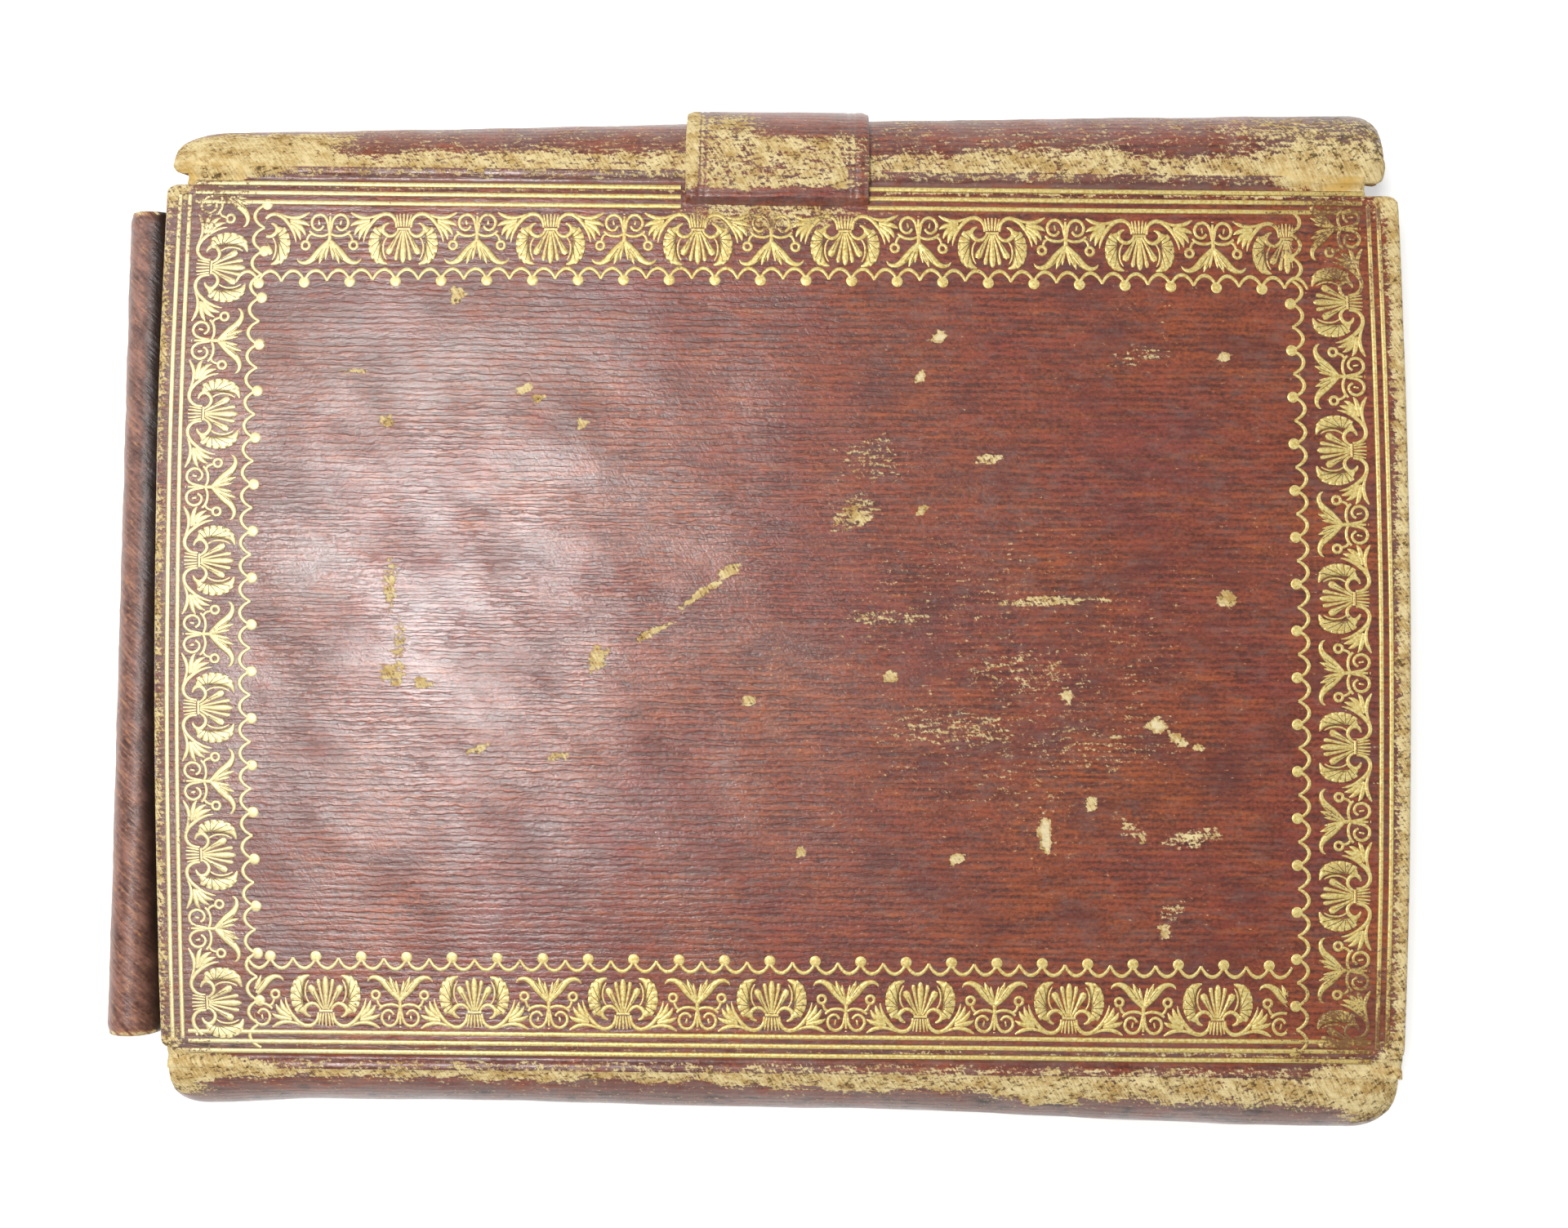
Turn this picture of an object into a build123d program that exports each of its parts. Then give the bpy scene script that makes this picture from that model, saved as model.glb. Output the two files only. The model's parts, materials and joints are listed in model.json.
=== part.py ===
from build123d import *
import os
from math import cos, radians, sin

# Driving dimensions, in millimetres and degrees.
# Frame: X along the spine, +Y from the spine to the fore-edge, +Z up, origin under the back cover.

# Covers
cover_length = 153.5
cover_width = 106.1
side_bow = 1.2
corner_radius = 1.6
book_thickness = 15.0
leather = 0.8
board = 1.8
turn_in = 0.3
turn_in_width = 6.0
edge_bevel = 0.5
glue_line = 0.05

# Pages
square = 3.0
page_clearance = 0.2
fore_edge_hollow = 1.6
endband_radius = 0.6
endband_sweep = 130.0

# Leather joints
joint_width = 1.6
joint_setback = 2.4

# Spine
spine_drop = 0.4
spine_end_round = 2.6
spine_lining = 0.6
headcap_lip = 2.2
headcap_depth = 1.4

# Fore-edge flap
flap_short = 1.3
flap_x = -1.1
flap_lead = 1.4
flap_drop = 0.2
flap_end_round = 3.0
flap_lining = 0.6
flap_lip_angle = 60.0

# Closing strap and its slit
strap_width = 22.5
strap_thickness = 1.0
strap_x = -1.1
strap_lip_angle = 56.0
strap_tongue = 2.2
slit_length = 1.0
slit_clearance = 0.15

# Pencil sleeve
sleeve_short = 1.0
sleeve_radius = 3.35
sleeve_bore = 2.45
sleeve_gap = 1.1
sleeve_lean = 0.83
sleeve_tail_gap = 0.3

# Gilt tooling on the front cover
gilt = 0.08
gilt_line = 0.5
tooling_x = -0.8
fillet_side_margin = 2.4
fillet_long_margin = 1.3
fillet_pitch = 1.35
side_fillets = 2
long_fillets = 3
roll_side_margin = 8.4
roll_long_margin = 7.1
roll_pitch = 18.3
petal_length = 4.6
petal_width = 1.5
petal_spread = 34.0
scallop_side_margin = 12.7
scallop_long_margin = 11.8
scallop_pitch = 2.85
scallop_rise = 0.8
scallop_ball = 0.7

# Sizes that follow
cover_thickness = leather + board + turn_in
mid_height = book_thickness / 2
hinge_y = cover_width / 2 + joint_width / 2
roll_y = cover_width / 2 + joint_width
pages_length = cover_length - 2 * square
spine_radius = mid_height - spine_drop
flap_radius = mid_height - flap_drop
strap_radius = mid_height
flap_length = cover_length - 2 * flap_short
strap_end_y = cover_width / 2 - strap_tongue
sleeve_length = cover_width - 2 * sleeve_short
sleeve_wall = sleeve_radius - sleeve_bore
sleeve_x = -cover_length / 2 - sleeve_gap - sleeve_radius
overcut = 2.0


def cover_outline():
    """Plan of a cover: straight long sides, short sides that belly out a little."""
    x = cover_length / 2 - side_bow
    y = cover_width / 2
    edges = [
        Line((-x, -y), (x, -y)),
        ThreePointArc((x, -y), (x + side_bow, 0), (x, y)),
        Line((x, y), (-x, y)),
        ThreePointArc((-x, y), (-x - side_bow, 0), (-x, -y)),
    ]
    face = make_face(edges)
    return fillet(face.vertices(), corner_radius)


def inset(amount):
    return offset(cover_outline(), -amount)


def slab(face, low, thickness):
    return extrude(Pos(0, 0, low) * face, thickness, dir=(0, 0, 1))


def cover_leather():
    """A covering as it lies on the back board: outer face down, turned over the board's edges."""
    skin = slab(cover_outline(), 0, cover_thickness)
    rubbed = skin.faces().sort_by(Axis.Z)[0].edges()
    skin = chamfer(rubbed, edge_bevel)
    skin -= slab(inset(leather), leather, board)
    return skin - slab(inset(leather + turn_in_width), leather + board, turn_in + overcut)


def cover_board():
    return slab(inset(leather + glue_line), leather, board)


def pastedown():
    return slab(inset(leather + turn_in_width + glue_line), leather + board, turn_in)


def as_front(piece):
    """Turns a piece of the back cover over to the front cover."""
    return mirror(piece, about=Plane.XY.offset(mid_height))


def strap_slit():
    width = strap_width + 2 * slit_clearance
    length = slit_length + 2 * slit_clearance
    y = strap_end_y + slit_length / 2
    return Pos(strap_x, y, book_thickness - leather / 2) * Box(width, length, leather)


def front_leather():
    return as_front(cover_leather()) - strap_slit()


def text_block():
    """All the pages as one solid: hollow fore-edge, flat faces, shoulders and a round back."""
    low = cover_thickness + page_clearance
    high = book_thickness - low
    fore = cover_width / 2 - square
    shoulder = cover_width / 2 + glue_line
    back = spine_radius - leather - spine_lining - 2 * glue_line
    edges = [
        ThreePointArc((fore, high), (fore - fore_edge_hollow, mid_height), (fore, low)),
        Line((fore, low), (-shoulder, low)),
        Line((-shoulder, low), (-roll_y, mid_height - back)),
        ThreePointArc(
            (-roll_y, mid_height - back), (-roll_y - back, mid_height), (-roll_y, mid_height + back)
        ),
        Line((-roll_y, mid_height + back), (-shoulder, high)),
        Line((-shoulder, high), (fore, high)),
    ]
    return extrude(Plane.YZ * make_face(edges), pages_length / 2, both=True)


def endband(end):
    """A sewn roll round the back of the pages, at the end of the spine that the sign gives."""
    bend = spine_radius - leather - spine_lining - 2 * glue_line - endband_radius
    x = end * (pages_length / 2 + endband_radius)
    start = Plane((x, -roll_y - bend, mid_height), x_dir=(1, 0, 0), z_dir=(0, 0, 1))
    roll = start * RegularPolygon(endband_radius, 6)
    axis = Axis((0, -roll_y, mid_height), (1, 0, 0))
    return revolve(roll, axis, endband_sweep).rotate(axis, -endband_sweep / 2)


def roll_section(radius, lead, behind):
    """A half-round section: flat for the lead, then a half circle, reaching behind its joint."""
    bar = Pos((lead - behind) / 2, 0) * Rectangle(lead + behind, 2 * radius)
    cap = Pos(lead, 0) * Circle(radius) - Pos(lead - radius, 0) * Rectangle(2 * radius, 2 * radius)
    return bar + cap if lead + behind > 0 else cap


def spine_plane():
    return Plane((0, -roll_y, mid_height), x_dir=(0, -1, 0), z_dir=(-1, 0, 0))


def flap_plane(x):
    return Plane((x, roll_y, mid_height), x_dir=(0, 1, 0), z_dir=(1, 0, 0))


def rounded_roll(plane, radius, lead, length, end_round):
    """A half-round bar whose two ends are rounded over."""
    bar = extrude(plane * roll_section(radius, lead, 0), length / 2, both=True)
    ends = bar.faces().filter_by(Axis.X)
    rims = [edge for edge in ends.edges() if abs(edge.center().Y - plane.origin.Y) > glue_line]
    return fillet(rims, end_round)


def half_round_skin(plane, radius, lead, length, end_round):
    """Leather moulded to a half round, turned in double over both ends as a headcap."""
    skin = rounded_roll(plane, radius, lead, length, end_round)
    inside = plane * roll_section(radius - leather, lead, overcut)
    skin -= extrude(inside, length / 2 - headcap_depth, both=True)
    opening = plane * roll_section(radius - leather - headcap_lip, lead, overcut)
    return skin - extrude(opening, length, both=True)


def half_round_lining(plane, radius, lead, thickness, length):
    outer = roll_section(radius, lead, 0)
    inner = roll_section(radius - thickness, lead, overcut)
    return extrude(plane * (outer - inner), length / 2, both=True)


def below_lip(angle, length):
    """What lies behind the flap's free edge, below the ray that falls at the angle."""
    reach = 4 * mid_height
    down = -reach * sin(radians(angle))
    corner = (flap_lead, 0)
    edges = Polyline(
        corner,
        (flap_lead + reach * cos(radians(angle)), down),
        (-reach, down),
        (-reach, 0),
        close=True,
    )
    return extrude(flap_plane(flap_x) * make_face(edges), length, both=True)


def spine_leather():
    return half_round_skin(spine_plane(), spine_radius, 0, cover_length, spine_end_round)


def spine_back_lining():
    radius = spine_radius - leather - glue_line
    return half_round_lining(spine_plane(), radius, 0, spine_lining, pages_length)


def flap_leather():
    skin = half_round_skin(flap_plane(flap_x), flap_radius, flap_lead, flap_length, flap_end_round)
    return skin - below_lip(flap_lip_angle, flap_length)


def flap_inside():
    radius = flap_radius - leather - glue_line
    length = flap_length - 2 * flap_end_round
    lining = half_round_lining(flap_plane(flap_x), radius, flap_lead, flap_lining, length)
    return lining - below_lip(flap_lip_angle, flap_length)


def groove(hinge, drop):
    """Leather bent to a round groove about a hinge line on the front cover's top face."""
    ring = Circle(joint_width / 2 + leather) - Circle(joint_width / 2)
    below = Pos(0, -drop - joint_width) * Rectangle(joint_width, 2 * joint_width)
    plane = Plane((0, hinge, book_thickness), x_dir=(0, 1, 0), z_dir=(1, 0, 0))
    return extrude(plane * (ring & below), cover_length / 2 - joint_setback, both=True)


def strap():
    """One strap from the slit over the groove and round the flap, with a toe in the slit."""
    behind = roll_y - strap_end_y
    outer = roll_section(strap_radius + strap_thickness, flap_lead, behind)
    inner = roll_section(strap_radius, flap_lead, behind)
    band = extrude(flap_plane(strap_x) * (outer - inner), strap_width / 2, both=True)
    band -= below_lip(strap_lip_angle, cover_length)
    toe = Pos(strap_x, strap_end_y + slit_length / 2, book_thickness - leather / 2)
    return band + toe * Box(strap_width, slit_length, leather)


def pencil_sleeve():
    """A leather tube for a pencil, with a tail pasted to the back cover's inner margin."""
    lean = radians(sleeve_lean)
    middle = (sleeve_x, 0, cover_thickness + sleeve_radius)
    plane = Plane(middle, x_dir=(cos(lean), -sin(lean), 0), z_dir=(-sin(lean), -cos(lean), 0))
    tail_length = cover_length / 2
    tail = Pos(tail_length / 2, sleeve_wall / 2 - sleeve_radius) * Rectangle(tail_length, sleeve_wall)
    section = Circle(sleeve_radius) + tail - Circle(sleeve_bore)
    tube = extrude(plane * section, sleeve_length / 2, both=True)
    tail_end = -pages_length / 2 - sleeve_tail_gap
    beyond = Box(cover_length, 2 * cover_width, book_thickness, align=(Align.MIN, Align.CENTER, Align.MIN))
    return tube - Pos(tail_end, 0, 0) * beyond


def frame_line(side_margin, long_margin):
    """A gilt line that runs once round the cover."""
    length = cover_length - 2 * side_margin
    width = cover_width - 2 * long_margin
    outer = Rectangle(length + gilt_line, width + gilt_line)
    return outer - Rectangle(length - gilt_line, width - gilt_line)


def fillets():
    """Frame lines, and the further lines along the long sides alone."""
    lines = []
    for n in range(side_fillets):
        step = n * fillet_pitch
        lines.append(frame_line(fillet_side_margin + step, fillet_long_margin + step))
    length = cover_length - 2 * (fillet_side_margin + side_fillets * fillet_pitch)
    for n in range(side_fillets, long_fillets):
        y = cover_width / 2 - fillet_long_margin - n * fillet_pitch
        for side in (-1, 1):
            lines.append(Pos(0, side * y) * Rectangle(length, gilt_line))
    return lines


def petal(angle, length):
    """A pointed leaf that stands on the origin, broadest at two thirds of its length."""
    half = petal_width / 2
    broad = length * 2 / 3
    leaf = make_face(Polyline((0, 0), (half, broad), (0, length), (-half, broad), close=True))
    return Rot(0, 0, angle) * leaf


def palmette():
    """A fan of five petals on a small square boss, centred, that points along +Y."""
    fan = RegularPolygon(petal_width / 2, 4) + petal(0, petal_length)
    for turn in (-2, -1, 1, 2):
        fan += petal(turn * petal_spread, petal_length * cos(radians(turn * petal_spread / 2)))
    return Pos(0, -petal_length / 2) * fan


def roll_row(run, distance, turn):
    """Palmettes in a row along one side, pointing at the field."""
    count = int(run / 2 / roll_pitch)
    row = [Pos(n * roll_pitch, -distance) * palmette() for n in range(-count, count + 1)]
    return [Rot(0, 0, turn) * one for one in row]


def palmette_roll():
    """The four rows of palmettes; the rows stop short of the corners."""
    length = cover_length - 2 * roll_side_margin
    width = cover_width - 2 * roll_long_margin
    rows = []
    for turn in (0, 180):
        rows += roll_row(length - roll_pitch, width / 2, turn)
    for turn in (90, 270):
        rows += roll_row(width - roll_pitch, length / 2, turn)
    return rows


def scallop_sides():
    """Half run, distance from the middle and number of scallops, for each side in turn."""
    along = cover_length / 2 - scallop_side_margin
    across = cover_width / 2 - scallop_long_margin
    sides = ((0, along, across), (90, across, along), (180, along, across), (270, across, along))
    return [(turn, half, away, 2 * round(half / scallop_pitch)) for turn, half, away in sides]


def scallop_ring(grow):
    """A closed chain of small bows round the field, each one of three straight strokes."""
    corners = []
    for turn, half, away, count in scallop_sides():
        step = 2 * (half + grow) / count
        for n in range(count):
            x = n * step - half - grow
            for share, rise in ((0, 0), (1 / 4, scallop_rise), (3 / 4, scallop_rise)):
                corner = Vector(x + share * step, -away - grow - rise)
                corners.append(corner.rotate(Axis.Z, turn))
    return make_face(Polyline(*corners, close=True))


def scallops():
    """The scalloped frame, with a ball at every second cusp on the field side."""
    frame = scallop_ring(gilt_line / 2) - scallop_ring(-gilt_line / 2)
    balls = []
    for turn, half, away, count in scallop_sides():
        for n in range(2, count - 1, 2):
            place = Pos(n * 2 * half / count - half, scallop_ball - away)
            balls.append(Rot(0, 0, turn) * place * RegularPolygon(scallop_ball, 5))
    return frame + balls


def gilt_tooling():
    """Gold leaf pressed on the front cover, left out under the strap and round its slit."""
    leaf = fillets() + palmette_roll() + [scallops()]
    hidden = Box(
        strap_width + 2 * fillet_pitch,
        2 * (cover_width / 2 - strap_end_y + fillet_pitch / 2),
        overcut,
    )
    hidden = Pos(strap_x, cover_width / 2, book_thickness) * hidden
    solids = []
    for face in leaf:
        piece = slab(Pos(tooling_x, 0) * face, book_thickness, gilt)
        solids += (piece - hidden).solids()
    return Compound(solids)


def nodes():
    back_joint = mirror(groove(-hinge_y, spine_drop), about=Plane.XY.offset(mid_height))
    return {
        "text_block": text_block(),
        "head_endband": endband(-1),
        "tail_endband": endband(1),
        "spine_lining": spine_back_lining(),
        "spine_leather": spine_leather(),
        "front_board": as_front(cover_board()),
        "front_leather": front_leather(),
        "front_pastedown": as_front(pastedown()),
        "back_board": cover_board(),
        "back_leather": cover_leather(),
        "back_pastedown": pastedown(),
        "front_joint": groove(-hinge_y, spine_drop),
        "back_joint": back_joint,
        "flap_joint": groove(hinge_y, flap_drop),
        "flap_leather": flap_leather(),
        "flap_lining": flap_inside(),
        "strap": strap(),
        "pencil_sleeve": pencil_sleeve(),
        "gilt_tooling": gilt_tooling(),
    }


os.makedirs("parts", exist_ok=True)
for name, shape in nodes().items():
    export_step(shape, f"parts/{name}.step")
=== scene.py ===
"""A worn red goatskin pocket book with gilt tooling, seen from above on a white table."""
import json
from collections import namedtuple
from math import asin, cos, hypot, pi, radians, sin, sqrt

import bmesh
import bpy
from mathutils import Matrix, Vector, noise
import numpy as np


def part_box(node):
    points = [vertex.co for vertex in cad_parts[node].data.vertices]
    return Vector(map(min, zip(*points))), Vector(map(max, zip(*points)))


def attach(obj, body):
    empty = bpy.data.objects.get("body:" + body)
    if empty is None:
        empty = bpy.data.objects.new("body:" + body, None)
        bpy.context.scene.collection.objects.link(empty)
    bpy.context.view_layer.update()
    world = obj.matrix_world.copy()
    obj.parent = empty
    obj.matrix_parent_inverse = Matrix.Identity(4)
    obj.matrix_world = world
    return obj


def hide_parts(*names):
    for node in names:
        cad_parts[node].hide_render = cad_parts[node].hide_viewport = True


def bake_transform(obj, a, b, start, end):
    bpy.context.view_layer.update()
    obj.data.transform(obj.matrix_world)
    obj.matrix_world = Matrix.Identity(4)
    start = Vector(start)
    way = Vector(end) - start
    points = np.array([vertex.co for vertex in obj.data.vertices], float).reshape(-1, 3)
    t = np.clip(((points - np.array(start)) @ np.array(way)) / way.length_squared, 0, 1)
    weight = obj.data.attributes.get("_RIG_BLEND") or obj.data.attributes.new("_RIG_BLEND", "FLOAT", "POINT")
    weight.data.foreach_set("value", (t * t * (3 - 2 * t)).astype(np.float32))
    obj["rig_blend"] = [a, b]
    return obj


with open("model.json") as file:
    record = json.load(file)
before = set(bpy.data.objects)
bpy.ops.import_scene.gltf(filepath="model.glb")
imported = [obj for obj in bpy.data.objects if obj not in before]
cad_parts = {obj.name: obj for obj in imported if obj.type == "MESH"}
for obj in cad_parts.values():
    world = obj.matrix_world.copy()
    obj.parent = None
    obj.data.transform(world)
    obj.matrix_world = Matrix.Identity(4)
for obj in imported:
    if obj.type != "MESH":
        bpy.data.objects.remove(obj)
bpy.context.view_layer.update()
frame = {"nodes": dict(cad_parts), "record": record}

MM = 0.001

# Sizes in millimetres, read from the frame
def node_box(node):
    """A solid's lowest and highest corner in millimetres."""
    low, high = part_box(node)
    return [value / MM for value in low], [value / MM for value in high]


COVER_LOW, COVER_HIGH = node_box("front_leather")
SPINE_LOW, SPINE_HIGH = node_box("spine_leather")
FLAP_LOW, FLAP_HIGH = node_box("flap_leather")
STRAP_LOW, STRAP_HIGH = node_box("strap")
SLEEVE_LOW, SLEEVE_HIGH = node_box("pencil_sleeve")
JOINT_LOW, JOINT_HIGH = node_box("flap_joint")
PASTE_LOW, PASTE_HIGH = node_box("front_pastedown")
LINING_LOW, LINING_HIGH = node_box("spine_lining")

HALF_LENGTH = COVER_HIGH[0]
HALF_WIDTH = COVER_HIGH[1]
TOP = COVER_HIGH[2]
MID = TOP / 2
COVER_DEPTH = TOP - COVER_LOW[2]
JOINT_WIDTH = JOINT_HIGH[1] - JOINT_LOW[1]
HINGE_Y = HALF_WIDTH + JOINT_WIDTH / 2
ROLL_Y = HALF_WIDTH + JOINT_WIDTH
SPINE_RADIUS = SPINE_HIGH[2] - MID
FLAP_RADIUS = FLAP_HIGH[2] - MID
FLAP_LEAD = FLAP_HIGH[1] - FLAP_LOW[1] - FLAP_RADIUS
STRAP_THICK = STRAP_HIGH[2] - TOP
STRAP_X = (STRAP_LOW[0] + STRAP_HIGH[0]) / 2
STRAP_HALF = (STRAP_HIGH[0] - STRAP_LOW[0]) / 2
SLIT_Y = STRAP_LOW[1]

# Leather sizes that the pieces share
LEATHER = 0.8
LINING = 0.6
SIDE_BOW = 1.2
CORNER = 1.6
EDGE_ROUND = 0.9
EDGE_SEAM = 0.3
LEFT_SWELL, RIGHT_SWELL = 0.35, 0.55
LEAN = 0.0135


# Small tools
def linear(hex_colour):
    """An sRGB hex colour as linear red, green, blue and alpha."""
    values = [int(hex_colour[n:n + 2], 16) / 255 for n in (1, 3, 5)]
    return [v / 12.92 if v <= 0.04045 else ((v + 0.055) / 1.055) ** 2.4 for v in values] + [1.0]


def feed(tree, node, inputs):
    """Sets a node's inputs: values, hex colours, or sockets to link from."""
    for name, value in inputs.items():
        if isinstance(value, bpy.types.NodeSocket):
            tree.links.new(value, node.inputs[name])
        else:
            node.inputs[name].default_value = linear(value) if isinstance(value, str) else value


def add(tree, kind, inputs=None, **settings):
    """Adds a node with its settings and inputs."""
    node = tree.nodes.new("ShaderNode" + kind)
    for name, value in settings.items():
        setattr(node, name, value)
    feed(tree, node, inputs or {})
    return node


def new_material(name):
    """A material with one principled shader, its node tree and the shader."""
    material = bpy.data.materials.new(name)
    material.use_nodes = True
    tree = material.node_tree
    tree.nodes.clear()
    output = add(tree, "OutputMaterial")
    shader = add(tree, "BsdfPrincipled")
    tree.links.new(shader.outputs[0], output.inputs[0])
    return material, tree, shader


def smooth(low, high, value):
    """Eases from 0 at low to 1 at high."""
    share = min(max((value - low) / (high - low), 0.0), 1.0)
    return share * share * (3 - 2 * share)


def mottle(x, y, size, seed=0.0):
    """Soft noise from -1 to 1, with patches of about the size given in millimetres."""
    return noise.noise(Vector((x / size, y / size, seed)))


def finish_piece(name, bm, material, shade_smooth=True):
    """Turns a bmesh in millimetres into an object in metres, at the origin."""
    bmesh.ops.scale(bm, vec=(MM, MM, MM), verts=bm.verts)
    mesh = bpy.data.meshes.new(name)
    bm.to_mesh(mesh)
    bm.free()
    mesh.materials.append(material)
    if shade_smooth:
        mesh.shade_smooth()
    obj = bpy.data.objects.new(name, mesh)
    bpy.context.scene.collection.objects.link(obj)
    return obj


def dressed_grid(columns, rows, place):
    """A sheet of quads; place(u, v) gives each point's place, skin place, wear, and soil together with any
    painted light.
    """
    bm = bmesh.new()
    bmesh.ops.create_grid(bm, x_segments=columns, y_segments=rows, size=0.5)
    skin = bm.verts.layers.float_vector.new("skin")
    wear = bm.verts.layers.float.new("wear")
    soil_and_painted_light = bm.verts.layers.float.new("soil_and_painted_light")
    for vert in bm.verts:
        spot, on_skin, worn, soiled_or_lit = place(vert.co.x + 0.5, vert.co.y + 0.5)
        vert.co = spot
        vert[skin] = Vector((on_skin[0], on_skin[1], 0.0))
        vert[wear] = worn
        vert[soil_and_painted_light] = soiled_or_lit
    return bm


# Front cover: form and wear
def panel_height(x, y):
    """How far the covering stands above its flat: a slight cockle over the board."""
    crown = 0.10 * (1 - (x / HALF_LENGTH) ** 2) * (1 - (y / HALF_WIDTH) ** 2)
    cockle = 0.16 * mottle(x, y, 22.0, 3.1) + 0.06 * mottle(x, y, 10.0, 7.7)
    return crown + cockle + 0.02 * mottle(x, y, 4.0, 9.3)


# Rubs and chips on the field: x, y, half length, half width, turn in degrees, depth
SCUFFS = (
    (19.0, 35.0, 0.9, 0.7, 30, 1.6), (16.6, 30.0, 0.7, 0.5, 60, 1.5), (9.0, 13.3, 3.2, 2.0, 20, 0.5),
    (9.6, 12.6, 1.3, 0.9, 0, 0.8), (17.0, 13.8, 0.8, 0.5, 40, 1.3), (32.5, -26.0, 0.7, 1.9, 8, 1.8),
    (46.0, -12.4, 0.9, 0.9, 0, 1.6), (48.5, -14.0, 1.7, 0.5, -35, 1.2), (51.2, -15.0, 0.8, 0.5, 0, 1.3),
    (43.2, -25.2, 2.6, 0.9, -40, 0.5), (38.0, -22.0, 0.8, 0.9, 0, 1.1), (13.2, -6.7, 1.0, 0.6, 0, 1.2),
    (-4.0, -9.7, 0.8, 0.6, 0, 1.1), (2.4, -28.2, 0.6, 0.7, 0, 1.3), (21.8, -28.8, 0.9, 0.6, 0, 1.3),
    (47.2, -37.5, 0.6, 0.8, 20, 1.2), (54.0, 32.8, 0.8, 0.6, 0, 1.3), (-31.8, 28.2, 1.2, 0.5, 25, 1.0),
    (-24.8, 24.0, 0.7, 0.6, 0, 1.1), (-40.2, 39.6, 1.0, 0.8, 40, 1.1), (-30.2, 27.0, 0.8, 0.4, 0, 1.0),
    (34.8, -8.6, 0.9, 0.4, -50, 1.2), (54.6, 3.0, 1.2, 0.9, 0, 0.9), (25.0, 20.0, 1.6, 0.7, 10, 0.6),
    (-6.6, 6.0, 1.6, 0.6, 35, 1.0), (-10.0, 3.2, 3.4, 0.5, 35, 0.8), (-16.0, -1.6, 3.0, 0.5, 28, 0.8),
    (-22.4, -4.8, 1.6, 1.0, 80, 0.9), (-48.0, 4.0, 0.8, 3.0, 0, 0.62), (-47.6, -7.0, 1.6, 1.4, 0, 0.75),
    (-46.8, -3.0, 0.8, 3.4, 0, 0.6), (-44.0, -8.0, 1.0, 0.8, 0, 0.9), (-37.0, -16.0, 1.4, 0.5, 20, 0.7),
    (-27.6, -17.0, 1.3, 0.6, 20, 0.8), (-48.6, 24.0, 0.8, 0.7, 0, 0.8), (-52.4, 30.0, 1.8, 0.4, 0, 0.6),
    (13.0, 0.5, 6.0, 0.8, 0, 0.45), (33.0, 2.8, 6.5, 0.5, 2, 0.72), (30.0, -6.0, 7.0, 3.0, 0, 0.36),
    (21.0, -13.0, 9.0, 2.2, 0, 0.4), (11.0, 20.0, 4.0, 3.0, 0, 0.36), (38.0, -15.0, 9.0, 3.0, 0, 0.3),
    (48.0, -35.0, 1.6, 1.2, 30, 0.4), (51.0, -26.0, 3.0, 1.0, 10, 0.6), (44.0, 33.0, 4.0, 1.0, 10, 0.42),
)


def scuff_at(x, y):
    """How deep the deepest scuff is at a place on the field."""
    depth = 0.0
    for cx, cy, half_long, half_wide, turn, deep in SCUFFS:
        dx, dy = x - cx, y - cy
        if abs(dx) > 3 * half_long + 3 * half_wide or abs(dy) > 3 * half_long + 3 * half_wide:
            continue
        along = dx * cos(radians(turn)) + dy * sin(radians(turn))
        across = dy * cos(radians(turn)) - dx * sin(radians(turn))
        ragged = 1 + 0.5 * mottle(x, y, 0.9, 5.5)
        reach = hypot(along / half_long, across / half_wide) * ragged
        depth = max(depth, deep * (1 - smooth(0.7, 1.35, reach)))
    return depth


def slant(x):
    """Share of the cover's lean at a place along it: the right side leans most."""
    return 0.76 + 0.24 * x / HALF_LENGTH


def front_wear(x, y):
    """Wear of the front cover: rubbed sides and corners, and the scuffed field."""
    scuffs = scuff_at(x, y)
    x += LEAN * slant(x) * y
    bow = SIDE_BOW * (y / HALF_WIDTH) ** 2
    left, right = HALF_LENGTH + LEFT_SWELL - bow + x, HALF_LENGTH + RIGHT_SWELL - bow - x
    bottom, top = y + HALF_WIDTH, HALF_WIDTH - y
    patchy = mottle(x, y, 5.0, 1.0)
    worn = -0.10 + 0.12 * smooth(-30.0, 40.0, x) + 0.16 * mottle(x, y, 13.0, 2.0)
    worn += 0.20 * (1 - smooth(0.2, 1.0, hypot((x - 22.0) / 42.0, (y + 8.0) / 28.0)))
    sides = 0.95 * (1 - smooth(0.8, 3.2 + 0.8 * patchy, right))
    sides = max(sides, (0.75 + 0.25 * patchy) * (1 - smooth(0.5, 2.2 + 0.8 * patchy, left)))
    sides = max(sides, 0.42 * (1 - smooth(0.1, 1.8 + 1.2 * patchy, bottom)))
    sides = max(sides, 0.55 * (1 - smooth(0.1, 1.3 + 0.6 * patchy, top)))
    corner = min(hypot(left, bottom), hypot(right, bottom), hypot(left, top), hypot(right, top))
    corner = 0.95 * (1 - smooth(1.0, 6.0 + 2.0 * patchy, corner))
    slit = hypot((x - STRAP_X) / (STRAP_HALF + 2.5), (y - SLIT_Y + 1.0) / 2.4)
    slit = 0.62 * (1 - smooth(0.5, 1.25 + 0.3 * patchy, slit))
    return max(worn + max(sides, corner, slit), scuffs)


def front_grime_and_sheen(x, y):
    """Grime along the right side and the spine side, and grey dust with a painted sheen over the top left
    and the left end.
    """
    right, bottom = HALF_LENGTH - x, y + HALF_WIDTH
    soil_and_painted_light = 0.12 + 0.15 * mottle(x, y, 11.0, 8.0)
    soil_and_painted_light += 0.3 * (1 - smooth(0.8, 3.4, right)) + 0.3 * (1 - smooth(0.5, 4.0, bottom))
    # Painted sheen over some dust: a pale grey veil on the top left of the field and on the left end, where
    # the lamp's gloss falls
    soil_and_painted_light += 0.3 * (1 - smooth(0.4, 1.0, hypot((x + 40.0) / 28.0, (y - 34.0) / 16.0)))
    soil_and_painted_light += 0.4 * (1 - smooth(-76.0, -44.0, x))
    return soil_and_painted_light


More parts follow.
